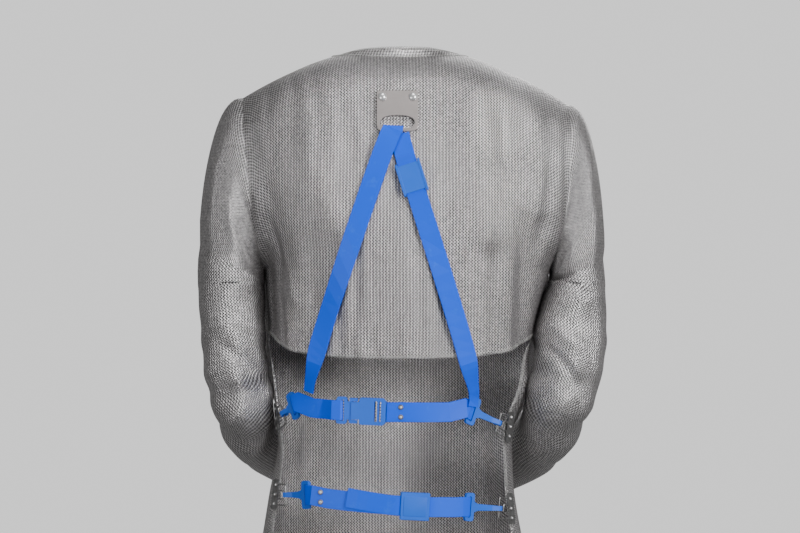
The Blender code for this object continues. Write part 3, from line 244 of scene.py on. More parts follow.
RIDGE = [
    Ridge(0.240, -0.0740),
    Ridge(0.217, -0.0560),
    Ridge(0.183, -0.0355),
    Ridge(0.145, -0.0165),
    Ridge(0.100, 0.0020),
    Ridge(0.060, 0.0115),
    Ridge(0.000, 0.0145),
]
Wrap = namedtuple("Wrap", "height left right")
WRAP = [
    Wrap(-0.352, 0.0, 0.0),
    Wrap(-0.385, 12.0, 20.0),
    Wrap(-0.450, 12.0, 26.0),
    Wrap(-0.560, 24.0, 26.0),
    Wrap(-1.020, 22.0, 24.0),
]
# How far the front stands out to the sides below the armpits, behind the bent arms
Bulge = namedtuple("Bulge", "height left right")
BULGE = [
    Bulge(-0.272, 0.000, 0.000),
    Bulge(-0.290, 0.0100, 0.0140),
    Bulge(-0.320, 0.0165, 0.0195),
    Bulge(-0.360, 0.016, 0.016),
    Bulge(-0.410, 0.0145, 0.0165),
    Bulge(-0.455, 0.0070, 0.0125),
    Bulge(-0.500, 0.0030, 0.0030),
    Bulge(-0.560, 0.000, 0.000),
]
WIDE_RIPPLE = 0.0008    # heights of the small waves between the folds, and how long they are
NARROW_RIPPLE = 0.00022
WIDE_WAVE = 0.0052
NARROW_WAVE = 0.0024
FOLD_START = 0.3        # shares of a fold's length in which it rises and dies away
FOLD_END = 0.15
# Folds: where each runs (metres from the middle, and how far it drifts on its way down), its half
# width, how far it stands out and its ends
Fold = namedtuple("Fold", "across drift spread depth top bottom")
BACK_FOLDS = [
    Fold(-0.150, 0.000, 0.016, 0.0015, -0.190, -0.420),
    Fold(-0.105, 0.000, 0.020, -0.0040, -0.150, -0.420),
    Fold(0.140, 0.000, 0.018, 0.0050, -0.200, -0.420),
    Fold(0.020, 0.000, 0.026, 0.0025, -0.220, -0.430),
    Fold(-0.180, 0.000, 0.012, 0.0050, -0.080, -0.260),
    Fold(0.198, 0.000, 0.012, 0.0050, -0.080, -0.260),
    Fold(-0.200, 0.062, 0.013, -0.0065, -0.070, -0.310),
    Fold(-0.176, 0.046, 0.008, 0.0045, -0.160, -0.330),
    Fold(-0.176, 0.016, 0.022, -0.0085, -0.170, -0.430),
    Fold(-0.165, 0.012, 0.006, -0.0022, -0.200, -0.390),
    Fold(-0.088, 0.012, 0.008, -0.0024, -0.190, -0.410),
    Fold(-0.054, -0.006, 0.007, -0.0026, -0.200, -0.410),
    Fold(-0.030, 0.000, 0.009, -0.0014, -0.230, -0.420),
    Fold(-0.110, 0.020, 0.030, 0.0045, -0.040, -0.250),
    Fold(0.100, 0.010, 0.026, 0.0085, -0.022, -0.260),
    Fold(0.128, 0.000, 0.007, -0.0022, -0.050, -0.140),
    Fold(0.176, 0.006, 0.013, 0.0055, -0.060, -0.220),
    Fold(0.196, -0.018, 0.008, -0.0055, -0.100, -0.260),
    Fold(0.164, -0.012, 0.015, -0.0060, -0.180, -0.400),
    Fold(0.112, -0.006, 0.008, 0.0018, -0.190, -0.400),
    Fold(0.060, -0.004, 0.010, -0.0018, -0.230, -0.420),
    Fold(0.018, 0.010, 0.008, -0.0016, -0.170, -0.400),
]


def mix(a, b, t):
    return a + (b - a) * t


def ease(t):
    t = np.clip(t, 0.0, 1.0)
    return t * t * (3 - 2 * t)


def bell(distance, spread):
    return np.exp(-((distance / spread) ** 2))


def smooth(rows, column, height):
    """One column of a table whose heights fall, read along a smooth curve through its rows."""
    keys = -np.array([row.height for row in rows])
    values = np.array([getattr(row, column) for row in rows])
    before = np.maximum(np.arange(len(keys)) - 1, 0)
    after = np.minimum(np.arange(len(keys)) + 1, len(keys) - 1)
    slopes = (values[after] - values[before]) / (keys[after] - keys[before])
    place = np.clip(-np.asarray(height, float), keys[0], keys[-1])
    k = np.clip(np.searchsorted(keys, place, side="right") - 1, 0, len(keys) - 2)
    step = keys[k + 1] - keys[k]
    t = (place - keys[k]) / step
    return ((2 * t**3 - 3 * t**2 + 1) * values[k] + (t**3 - 2 * t**2 + t) * step * slopes[k]
            + (3 * t**2 - 2 * t**3) * values[k + 1] + (t**3 - t**2) * step * slopes[k + 1])


def power(value):
    """Signed sine or cosine, squared off for the body's section."""
    return np.sign(value) * np.abs(value) ** (2 / ROUNDNESS)


def half_width(across, height):
    return np.where(across < 0, smooth(BODY, "left", height), smooth(BODY, "right", height))


def shoulder_end(across):
    return np.where(across < 0, SHOULDER_END[LEFT], SHOULDER_END[RIGHT])


def ridge(across):
    return smooth(RIDGE, "level", np.abs(across))


def depth_at(side, across, height):
    """How far the mail lies from the middle plane above the armpits."""
    top = ridge(SHOULDER_END[RIGHT])
    t = (top - height) / (top - ARMPIT_Z)
    wider = 1.0 + SIDE_SWELL * np.sin(np.pi * np.clip(t, 0, 1)) + TOP_SWELL * (1 - ease(t))
    share = np.minimum(np.abs(across) / (half_width(across, height) * wider), 1.0)
    section = (1 - share**ROUNDNESS) ** (1 / ROUNDNESS)
    q = np.clip((ridge(across) - height) / ROUNDING[side], 0.0, 1.0)
    rise = np.sqrt(1 - (1 - q) ** 2)
    return side * smooth(BODY, "back" if side == BACK else "front", height) * section * rise


def panel_form(side, s, v):
    """Points of a panel with no folds. s runs from -1 at the left seam to 1 at the right; v is 0 at
    the top, 1 at the armpits, 2 at the back's hem and 3 at the apron's hem."""
    share = np.abs(s)
    neck_x = NECK_HALF * np.sin(np.pi / 2 * np.minimum(share / NECK_SHARE, 1.0))
    seam_x = mix(NECK_HALF, shoulder_end(s), (share - NECK_SHARE) / (1 - NECK_SHARE))
    on_neck = share <= NECK_SHARE
    top_x = np.sign(s) * np.where(on_neck, neck_x, seam_x)
    top_z = ridge(top_x) - np.where(on_neck, NECK_DROP[side] * (1 - (neck_x / NECK_HALF) ** 2), 0.0)
    high = np.minimum(v, 1.0)
    spaced = mix(high, 0.5 - 0.5 * np.cos(np.pi * high), ROW_BUNCHING)
    z_high = mix(top_z, ARMPIT_Z, spaced)
    side_z = mix(ridge(shoulder_end(s)), ARMPIT_Z, spaced)
    side_x = mix(shoulder_end(s), half_width(s, side_z), ease(high / SIDE_BLEND))
    x_high = mix(top_x * side_x / shoulder_end(s), side_x * power(np.sin(np.pi / 2 * s)), ease(high))
    y_high = depth_at(side, x_high, z_high)
    hem = BACK_HEM_Z if side == FRONT else BACK_HEM_Z - BACK_HEM_DROP * (1 - share**HEM_POWER)
    z_low = np.where(v <= 2, mix(ARMPIT_Z, hem, v - 1), mix(BACK_HEM_Z, APRON_HEM_Z, v - 2))
    wrap = np.where(s < 0, smooth(WRAP, "left", z_low), smooth(WRAP, "right", z_low))
    turn = s * np.pi / 2 + np.where(v > 2, s * np.radians(wrap), 0.0)
    x_low = half_width(s, z_low) * power(np.sin(turn))
    if side == FRONT:
        swell = np.sin(np.pi * np.clip(np.cos(turn) / BULGE_TURN / 2, 0.0, 1.0)) ** 2
        out = np.where(s < 0, smooth(BULGE, "left", z_low), smooth(BULGE, "right", z_low))
        x_low = x_low + np.sign(s) * out * swell
    depth = np.where(np.cos(turn) >= 0, smooth(BODY, "back" if side == BACK else "front", z_low), EDGE_DEPTH)
    y_low = side * depth * power(np.cos(turn))
    upper = v <= 1
    return np.stack([np.where(upper, x_high, x_low), np.where(upper, y_high, y_low),
                     np.where(upper, z_high, z_low)], axis=-1)


def facing(points, outwards):
    """Unit normals of a net of points, on the side that `outwards` points to at its middle."""
    across = np.gradient(points, axis=1)
    down = np.gradient(points, axis=0)
    normals = np.cross(across, down)
    normals /= np.maximum(np.linalg.norm(normals, axis=-1, keepdims=True), 1e-12)
    middle = normals[normals.shape[0] // 2, normals.shape[1] // 2]
    return normals if middle @ np.array(outwards) > 0 else -normals


def fold_out(points, normals, folds, fade):
    """Moves a net's points out along its normals by the folds that run down over it."""
    x, z = points[..., 0], points[..., 2]
    amount = np.zeros(x.shape)
    for fold in folds:
        along = (fold.top - z) / (fold.top - fold.bottom)
        middle = fold.across + fold.drift * along
        ends = ease(along / FOLD_START) * ease((1 - along) / FOLD_END)
        amount += fold.depth * bell(x - middle, fold.spread) * ends
    return points + normals * ((amount + ripple(x, z)) * fade)[..., None]


def ripple(x, z):
    """Small uneven waves, mostly upright, that hanging mail keeps between its folds. The numbers here
    only make the waves differ from each other."""
    sway = 1.1 * np.sin(z / 0.047 + 1.3) + 0.5 * np.sin(z / 0.021 + x / 0.025)
    wide = np.sin(x / WIDE_WAVE + sway) * (0.55 + 0.45 * np.sin(z / 0.036 + x / 0.041))
    narrow = np.sin(x / NARROW_WAVE + 1.7 * sway) * (0.5 + 0.5 * np.sin(z / 0.029 - x / 0.023 + 2.0))
    return WIDE_RIPPLE * wide + NARROW_RIPPLE * narrow


def lengths(points, axis, origin):
    """Distance along the rows (axis 1) or columns (axis 0) of a net, from one of them."""
    steps = np.linalg.norm(np.diff(points, axis=axis), axis=-1)
    total = np.cumsum(steps, axis=axis)
    zero = np.zeros_like(np.take(total, [0], axis=axis))
    total = np.concatenate([zero, total], axis=axis)
    return total - np.take(total, [origin], axis=axis)


def shell(name, points, normals, weave, finish, closed=False, turned=None):
    """A thin wall under a net of points. weave holds each point's place on the flat mail, and turned
    the faces whose rings run the other way."""
    rows, columns = points.shape[:2]
    count = rows * columns
    outer = points.reshape(-1, 3)
    inner = (points - normals * MAIL).reshape(-1, 3)
    index = np.arange(count).reshape(rows, columns)
    a, b, c, d = index[:-1, :-1], index[1:, :-1], index[1:, 1:], index[:-1, 1:]
    outside = np.stack([a, b, c, d], axis=-1).reshape(-1, 4)
    inside = outside[:, ::-1] + count
    borders = [(index[0], 1), (index[-1], -1)]
    if not closed:
        borders += [(index[:, 0], -1), (index[:, -1], 1)]
    rims = [np.stack([line[:-1], line[1:], line[1:] + count, line[:-1] + count], axis=-1)[:, ::way]
            for line, way in borders]
    faces = np.concatenate([outside, inside, *rims])
    data = bpy.data.meshes.new(name)
    data.from_pydata(np.concatenate([outer, inner]).tolist(), [], faces.tolist())
    corner_weave = weave.reshape(-1, 2)[faces.reshape(-1) % count].reshape(-1, 4, 2)
    if turned is not None:
        swap = np.concatenate([turned.reshape(-1)] * 2)
        corner_weave[:len(swap)][swap] = corner_weave[:len(swap)][swap][..., ::-1]
    layer = data.attributes.new("weave", "FLOAT_VECTOR", "CORNER")
    flat = np.zeros((len(faces) * 4, 3))
    flat[:, :2] = corner_weave.reshape(-1, 2)
    layer.data.foreach_set("vector", flat.ravel())
    mesh = bmesh.new()
    mesh.from_mesh(data)
    bmesh.ops.remove_doubles(mesh, verts=mesh.verts, dist=MERGED)
    if mesh.calc_volume(signed=True) < 0:
        bmesh.ops.reverse_faces(mesh, faces=mesh.faces)
    mesh.to_mesh(data)
    mesh.free()
    data.shade_smooth()
    data.set_sharp_from_angle(angle=RIM_ANGLE)
    data.materials.append(finish)
    return add(name, data)


PITCH_ACROSS = 0.0042   # from one ring to the next in its row, and from one row to the next but one
PITCH_DOWN = 0.0039
RING_RADIUS = 0.00150   # middle line of the wire
WIRE_RADIUS = 0.00040
RING_LEAN = 0.30        # how steeply each ring lies, as it goes over one neighbour and under the next
WAVER = 0.0030          # how far the rows of rings stray from straight
SHEEN_SHARE = 0.55       # how far a patch of full painted sheen goes to the bright colour


def ring_relief(start, across, down, shift, lean):
    """Height of one lattice of rings in wire radii, below zero where it has a gap."""
    x = (start.math("FRACT", across / PITCH_ACROSS + shift) - 0.5) * PITCH_ACROSS
    y = (start.math("FRACT", down / PITCH_DOWN + shift) - 0.5) * PITCH_DOWN
    far = ((x * x + y * y) ** 0.5 - RING_RADIUS) / WIRE_RADIUS
    tube = 1.0 - far * far
    return tube + x * (lean / WIRE_RADIUS)


# Painted sheen: patches where the mail's colour is lightened to stand in for highlights, mostly on the
# right-hand side, where the key light falls: middle and half size of each patch, seen from the back, and how
# much brighter it is
SheenPatch = namedtuple("SheenPatch", "x z wide high gain")
PAINTED_SHEEN_PATCHES = [
    SheenPatch(0.128, -0.078, 0.052, 0.056, 0.90),
    SheenPatch(0.203, -0.112, 0.030, 0.040, 0.55),
    SheenPatch(0.228, -0.195, 0.034, 0.110, 0.36),
    SheenPatch(0.232, -0.385, 0.044, 0.085, 0.62),
    SheenPatch(0.120, -0.215, 0.050, 0.085, 0.22),
    SheenPatch(-0.222, -0.335, 0.026, 0.090, 0.30),
    SheenPatch(-0.214, -0.150, 0.012, 0.075, 0.45),
    SheenPatch(-0.040, -0.060, 0.055, 0.036, 0.15),
]


def painted_sheen(start):
    """Share from 0 to 1 or more by which the mail's colour is lightened with painted sheen."""
    parts = start.node("SeparateXYZ", {}, {"Vector": start.node("TexCoord", outlet="Object")})
    x, z = parts.outlet("X"), parts.outlet("Z")
    total = 0.0
    for sheen_patch in PAINTED_SHEEN_PATCHES:
        across, down = (x - sheen_patch.x) / sheen_patch.wide, (z - sheen_patch.z) / sheen_patch.high
        share = start.node("MapRange", {"interpolation_type": "SMOOTHSTEP"},
                           {"Value": across * across + down * down, "From Min": 1.0, "From Max": 0.25})
        total = total + sheen_patch.gain * share
    return total


def mail_steel(start):
    place = start.node("Attribute", {"attribute_name": "weave"}, outlet="Vector")
    parts = start.node("SeparateXYZ", {}, {"Vector": place})
    waver = speckle(start, 11.0, 1.0)
    across, down = parts.outlet("X") + WAVER * waver, parts.outlet("Y") + WAVER * (1.0 - waver)
    one = ring_relief(start, across, down, 0.0, RING_LEAN)
    other = ring_relief(start, across, down, 0.5, -RING_LEAN)
    relief = start.math("MAXIMUM", one, other)
    ringed = start.node("MapRange", {}, {"Value": relief, "From Min": -1.2, "From Max": 0.5})
    patches = speckle(start, 9.0, 3.0)
    grain = speckle(start, 260.0, 1.0)
    drift = start.node("MapRange", {}, {"Value": grain, "From Min": 0.28, "From Max": 0.72})
    shade = start.node("MapRange", {}, {"Value": patches, "From Min": 0.3, "From Max": 0.7,
                                        "To Min": 0.72, "To Max": 1.0})
    sheen_share = painted_sheen(start)
    # Partly the rings' random tone and partly painted glints: drift, a noise about one ring across, lightens
    # and darkens single rings to stand in for rings that catch the light
    tone = shade * (0.42 + 0.58 * drift)
    dull = blend_colours(start, tone, colour_of(0.20), colour_of(0.92, (1.0, 0.965, 0.97)))
    # Painted sheen: the listed patches lighten the mail's colour towards bright steel, standing in for
    # highlights
    bright = blend_colours(start, SHEEN_SHARE * sheen_share, dull, colour_of(0.98, (1.0, 0.97, 0.975)))
    # Painted shade: the gaps between the rings are coloured near black, standing in for the shadow seen
    # through the holes in the mail
    colour = blend_colours(start, ringed, colour_of(0.040, (1.0, 0.92, 0.92)), bright)
    rough = start.node("MapRange", {}, {"Value": ringed * shade, "From Min": 0.0, "From Max": 1.0,
                                        "To Min": 0.62, "To Max": 0.27})
    height = start.math("MAXIMUM", relief, -1.6)
    bump = start.node("Bump", {}, {"Strength": 0.50, "Distance": WIRE_RADIUS, "Height": height})
    return {"Base Color": colour, "Roughness": rough, "Metallic": 0.80, "Normal": bump}


ring_mail = new_finish("ring_mail", mail_steel)


PANEL_COLUMNS = 221
BACK_ROWS = (71, 29)    # points down to the armpits, and on to the hem
SEAM_FADE = 0.12        # shares of a panel's width and upper height in which its folds die away
TOP_FADE = 0.25


def panel_net(side, across, heights, folds):
    """A panel's points with its folds, their normals and their places on the flat mail."""
    s, v = np.meshgrid(across, heights)
    form = panel_form(side, s, v)
    fade = ease((1 - np.abs(s)) / SEAM_FADE) * ease(v / TOP_FADE)
    points = fold_out(form, facing(form, (0, side, 0)), folds, fade)
    origin = int(np.argmin(np.abs(heights - 1.0)))
    weave = np.stack([lengths(points, 1, len(across) // 2), lengths(points, 0, origin)], axis=-1)
    return points, facing(points, (0, side, 0)), weave


across_panel = np.linspace(-1, 1, PANEL_COLUMNS)
back_heights = np.concatenate([np.linspace(k, k + 1, rows)[min(k, 1):] for k, rows in enumerate(BACK_ROWS)])
back_points, back_normals, back_weave = panel_net(BACK, across_panel, back_heights, BACK_FOLDS)
back = shell("back_mail", back_points, back_normals, back_weave, ring_mail)
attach(back, "root")
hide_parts("back_panel")


# Front: a full-length panel of the same mail, joined to the back along the shoulders and sides. Below
# the back's hem it wraps round the sides, where a strip of turned rings binds each free edge.
FRONT_FOLDS = [
    Fold(-0.120, 0.000, 0.022, 0.0100, -0.530, -1.150),
    Fold(-0.045, 0.000, 0.024, 0.0080, -0.420, -1.150),
    Fold(0.030, 0.000, 0.026, 0.0090, -0.360, -1.150),
    Fold(0.105, 0.000, 0.022, 0.0090, -0.530, -1.150),
    Fold(-0.082, 0.010, 0.010, 0.0030, -0.480, -1.120),
    Fold(-0.005, -0.008, 0.011, 0.0028, -0.440, -1.100),
    Fold(0.070, 0.006, 0.010, 0.0032, -0.470, -1.120),
    Fold(0.140, -0.012, 0.012, -0.0035, -0.300, -0.760),
    Fold(-0.150, 0.016, 0.012, -0.0032, -0.300, -0.760),
    Fold(0.085, -0.050, 0.012, 0.0022, -0.110, -0.330),
    Fold(-0.090, 0.048, 0.013, 0.0024, -0.110, -0.340),
    Fold(0.150, -0.030, 0.010, 0.0020, -0.160, -0.340),
    Fold(-0.155, 0.034, 0.010, 0.0020, -0.160, -0.340),
]
EDGE_STRIP = 5          # columns of faces in each free edge's strip of turned rings
STRIP_START = 0.92      # where the strips begin, as a share of the front's half width
FRONT_COLUMNS = 171     # between the strips
FRONT_ROWS = (61, 17, 111)      # points down to the armpits, the back's hem and the front's hem

front_across = np.concatenate([np.linspace(-1, -STRIP_START, EDGE_STRIP + 1)[:-1],
                               np.linspace(-STRIP_START, STRIP_START, FRONT_COLUMNS),
                               np.linspace(STRIP_START, 1, EDGE_STRIP + 1)[1:]])
front_heights = np.concatenate([np.linspace(k, k + 1, rows)[min(k, 1):] for k, rows in enumerate(FRONT_ROWS)])
front_points, front_normals, front_weave = panel_net(FRONT, front_across, front_heights, FRONT_FOLDS)
hem_row = int(np.argmin(np.abs(front_heights - 2.0)))
strip_faces = np.zeros((len(front_heights) - 1, len(front_across) - 1), bool)
strip_faces[hem_row:, :EDGE_STRIP] = True
strip_faces[hem_row:, -EDGE_STRIP:] = True
front = shell("front_mail", front_points, front_normals, front_weave, ring_mail, turned=strip_faces)
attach(front, "root")
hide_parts("front_panel")


# Sleeves: tubes of ring mail set into the armholes. The arms are bent, so the mail creases behind the
# elbows and lies smooth on the outside of the upper arms.
Arm = namedtuple("Arm", "x y z wide deep")
ARMS = {
    LEFT: [
        Arm(-0.2203, 0.000, -0.292, 0.0437, 0.056),
        Arm(-0.2182, -0.006, -0.350, 0.0418, 0.053),
        Arm(-0.2135, -0.010, -0.405, 0.0415, 0.051),
        Arm(-0.2050, 0.004, -0.452, 0.0400, 0.049),
        Arm(-0.1950, 0.050, -0.486, 0.0380, 0.045),
        Arm(-0.1700, 0.108, -0.512, 0.0385, 0.042),
        Arm(-0.1300, 0.160, -0.538, 0.0380, 0.040),
        Arm(-0.0900, 0.196, -0.562, 0.0370, 0.038),
    ],
    RIGHT: [
        Arm(0.2315, 0.000, -0.292, 0.0365, 0.056),
        Arm(0.2228, -0.006, -0.350, 0.0472, 0.053),
        Arm(0.2192, -0.010, -0.405, 0.0448, 0.051),
        Arm(0.2050, 0.004, -0.453, 0.0440, 0.049),
        Arm(0.1900, 0.050, -0.490, 0.0410, 0.046),
        Arm(0.1660, 0.106, -0.517, 0.0400, 0.043),
        Arm(0.1270, 0.158, -0.542, 0.0380, 0.040),
        Arm(0.0880, 0.196, -0.564, 0.0370, 0.038),
    ],
}
# Creases: place round the tube (0 outer, 0.25 back, 0.5 inner) and along it (1 upper arm, 2 cuff), how
# far it slants, half widths both ways, and how far it goes in
Crease = namedtuple("Crease", "around along slant spread length depth")
SLEEVE_CREASES = {
    RIGHT: [
        Crease(0.18, 0.92, 0.0, 0.22, 0.040, 0.0050),
        Crease(0.20, 1.30, 0.0, 0.20, 0.035, 0.0060),
        Crease(0.12, 1.44, 0.0, 0.24, 0.035, 0.0060),
        Crease(0.60, 1.50, 0.0, 0.16, 0.050, 0.0070),
        Crease(0.46, 1.33, 0.0, 0.10, 0.080, -0.0032),
        Crease(0.36, 0.93, 0.30, 0.12, 0.045, 0.0045),
        Crease(0.20, 1.06, 0.20, 0.12, 0.030, -0.0040),
        Crease(0.24, 1.20, -0.50, 0.13, 0.026, -0.0045),
        Crease(0.25, 1.28, -0.55, 0.15, 0.018, 0.0050),
        Crease(0.30, 1.38, 0.40, 0.12, 0.018, -0.0030),
        Crease(0.36, 0.70, 1.20, 0.06, 0.060, 0.0035),
        Crease(0.12, 0.60, 1.00, 0.05, 0.080, 0.0020),
        Crease(0.08, 1.62, -0.20, 0.12, 0.025, 0.0028),
        Crease(0.40, 1.72, 0.20, 0.12, 0.025, 0.0028),
    ],
    LEFT: [
        Crease(0.18, 0.85, 0.0, 0.20, 0.040, 0.0045),
        Crease(0.22, 1.34, 0.0, 0.20, 0.035, 0.0055),
        Crease(0.14, 1.47, 0.0, 0.22, 0.035, 0.0055),
        Crease(0.60, 1.50, 0.0, 0.16, 0.050, 0.0070),
        Crease(0.46, 1.36, 0.0, 0.10, 0.080, -0.0028),
        Crease(0.34, 1.07, -0.35, 0.12, 0.036, 0.0036),
        Crease(0.24, 1.15, 0.30, 0.11, 0.028, -0.0040),
        Crease(0.28, 1.24, 0.45, 0.12, 0.018, 0.0042),
        Crease(0.10, 1.18, -0.30, 0.10, 0.018, 0.0024),
        Crease(0.20, 1.40, -0.40, 0.12, 0.016, -0.0028),
        Crease(0.34, 0.62, 1.10, 0.06, 0.070, 0.0050),
        Crease(0.26, 0.62, 0.60, 0.05, 0.090, -0.0038),
        Crease(0.10, 1.64, 0.20, 0.12, 0.025, 0.0028),
        Crease(0.42, 1.74, -0.20, 0.12, 0.025, 0.0028),
    ],
}
ELBOW_RIPPLE = 0.0010   # height of the small waves at the elbow
ELBOW = 1.35            # where it is along the sleeve, and how far its waves spread
ELBOW_SPREAD = 0.30
SHOULDER_FLARE = 0.85   # how quickly a sleeve widens from its armhole
FAN_ROWS = 22           # armhole to upper arm
ARM_ROWS = 96           # upper arm to cuff
SLEEVE_ROUND = 96


def arm_rings(hand):
    """Middle points, the outer and back directions and the half widths of a sleeve's rings."""
    table = np.array(ARMS[hand])
    place = np.linspace(0, len(table) - 1, ARM_ROWS + 1)
    i = np.minimum(place.astype(int), len(table) - 2)
    t = (place - i)[:, None]
    a, b, c, d = (table[np.clip(i + k, 0, len(table) - 1)] for k in (-1, 0, 1, 2))
    rows = 0.5 * (2 * b + (c - a) * t + (2 * a - 5 * b + 4 * c - d) * t**2 + (3 * b - a - 3 * c + d) * t**3)
    outer, rear = [Vector((hand, 0, 0))], [Vector((0, -1, 0))]
    heading = Vector((0, 0, -1))
    for k in range(1, ARM_ROWS + 1):
        ahead = Vector(rows[min(k + 1, ARM_ROWS)][:3]) - Vector(rows[k - 1][:3])
        turn = heading.rotation_difference(ahead.normalized())
        outer.append(turn @ outer[-1])
        rear.append(turn @ rear[-1])
        heading = ahead.normalized()
    return rows[:, :3], np.array(outer), np.array(rear), rows[:, 3], rows[:, 4]


def sleeve_net(hand):
    half = np.linspace(0, 0.5, SLEEVE_ROUND // 2 + 1)
    around = np.concatenate([half, half + 0.5])
    middles, outer, rear, wide, deep = arm_rings(hand)
    turn = 2 * np.pi * around
    tube = (middles[:, None] + outer[:, None] * (wide[:, None] * np.cos(turn))[..., None]
            + rear[:, None] * (deep[:, None] * np.sin(turn))[..., None])
    behind = around <= 0.5
    hand_s = np.full(around.shape, float(hand))
    armhole = np.where(behind[:, None], panel_form(BACK, hand_s, np.minimum(2 * around, 1.0)),
                       panel_form(FRONT, hand_s, np.clip(2 - 2 * around, 0.0, 1.0)))
    share = np.linspace(0, 1, FAN_ROWS + 1)[:-1]
    out = (np.sin(np.pi / 2 * share) ** SHOULDER_FLARE)[:, None]
    down = (1 - np.cos(np.pi / 2 * share))[:, None]
    first = tube[0]
    fan = np.stack([mix(armhole[:, 0], first[:, 0], out), mix(armhole[:, 1], first[:, 1], share[:, None]),
                    mix(armhole[:, 2], first[:, 2], down)], axis=-1)
    form = np.concatenate([fan, tube])
    along = np.concatenate([share, np.linspace(1, 2, ARM_ROWS + 1)])
    near, station = np.meshgrid(around, along)
    normals = tube_facing(form, hand)
    amount = np.zeros(near.shape)
    for crease in SLEEVE_CREASES[hand]:
        apart = (near - crease.around + 0.5) % 1.0 - 0.5
        line = station - crease.along - crease.slant * apart
        amount -= crease.depth * bell(apart, crease.spread) * bell(line, crease.length)
    # Small waves, which these numbers only make uneven
    sway = 1.6 * np.sin(2 * np.pi * near + 0.8) + 1.2 * np.sin(station * 5.3)
    amount += ELBOW_RIPPLE * np.sin(station * 47 + 2.2 * sway) * bell(station - ELBOW, ELBOW_SPREAD)
    swell = 0.5 + 0.5 * np.sin(station * 9.1 + sway)
    amount += WIDE_RIPPLE * np.sin(2 * np.pi * near * 7 + 1.5 * sway) * swell
    points = form + normals * (amount * ease(station / 0.1))[..., None]
    # The rows of rings start on the outside of the arm and meet on its inside
    girth = lengths(points, 1, 0)
    girth[:, len(half):] -= girth[:, -1:]
    weave = np.stack([girth, lengths(points, 0, FAN_ROWS)], axis=-1)
    return points, tube_facing(points, hand), weave


def tube_facing(points, hand):
    """Outward unit normals of a closed tube's net, whose last column is its first."""
    ahead = np.roll(points[:, :-1], -1, axis=1)
    behind = np.roll(points[:, :-1], 1, axis=1)
    across = np.concatenate([ahead - behind, (ahead - behind)[:, :1]], axis=1)
    normals = np.cross(across, np.gradient(points, axis=0)) * hand
    return normals / np.maximum(np.linalg.norm(normals, axis=-1, keepdims=True), 1e-12)


sleeves = {}
for name, hand in (("left", LEFT), ("right", RIGHT)):
    sleeves[hand] = sleeve_net(hand)
    sleeve = shell("sleeve_mail_" + name, *sleeves[hand], ring_mail, closed=True)
    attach(sleeve, "root")
    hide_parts("sleeve_" + name)


# Neck band: a narrow strip of turned rings sewn on round the neck opening, so that its rows stand
# upright and the seam below it shows as a line of bright dots.
BAND_HEIGHT = 0.0135
BAND_COLUMNS = 89       # in each half
BAND_LEAN = (24, 80)    # degrees by which it leans in at the middle and at the shoulders


def band_net():
    s = np.linspace(-NECK_SHARE, NECK_SHARE, BAND_COLUMNS)
    sides = [(BACK, s), (FRONT, s[::-1][1:])]
    seam = np.concatenate([panel_form(side, part, np.zeros(part.shape)) for side, part in sides])
    out = seam * np.array([1.0, 1.0, 0.0])
    out /= np.linalg.norm(out, axis=-1, keepdims=True)
    lean = np.radians(mix(*BAND_LEAN, np.abs(out[:, 0]) ** 3))[:, None]
    rise = np.array([0.0, 0.0, 1.0]) * np.cos(lean) - out * np.sin(lean)
    up = np.linspace(0, BAND_HEIGHT, 7)[:, None, None]
    points = seam + rise * up
    ahead = np.roll(points[:, :-1], -1, axis=1) - np.roll(points[:, :-1], 1, axis=1)
    across = np.concatenate([ahead, ahead[:, :1]], axis=1)
    normals = np.cross(across, np.broadcast_to(rise, points.shape))
    normals /= np.linalg.norm(normals, axis=-1, keepdims=True)
    weave = np.stack([lengths(points, 0, 0), lengths(points, 1, 0)], axis=-1)
    return points, normals, weave


band_points, band_normals, band_weave = band_net()
band = shell("neck_band_mail", band_points, band_normals, band_weave, ring_mail, closed=True)
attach(band, "root")
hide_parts("neck_band")


# Border rings: the outermost rings of every hem and edge, modelled one by one. Each is a welded steel
# ring, and they lean by turns one way and the other.
RING_SIDES = 8
WIRE_SIDES = 4
BORDER_LEAN = 0.45      # radians by which the rows of rings lean by turns
BORDER_LIFT = 0.0002    # how far they stand off the mail
EDGE_PITCH = 0.0033     # closer rings along the free edges and the neck
SEAM_PITCH = 0.0036     # along the neck band's seam


def ring_steel(start):
    tone = speckle(start, 160.0, 2.0)
    return {"Base Color": blend_colours(start, tone, colour_of(0.34), colour_of(0.72, (1.0, 0.985, 0.965))),
            "Roughness": 0.25 + 0.2 * tone, "Metallic": 0.9}


def even_places(line, pitch):
    """Places along a polyline at an even pitch, as fractions of its points."""
    total = np.concatenate([[0.0], np.cumsum(np.linalg.norm(np.diff(line, axis=0), axis=1))])
    count = max(int(round(total[-1] / pitch)), 1)
    return np.interp((np.arange(count) + 0.5) * total[-1] / count, total, np.arange(len(line)))


def sample(values, places):
    low = np.minimum(places.astype(int), len(values) - 2)
    return mix(values[low], values[low + 1], (places - low)[:, None])


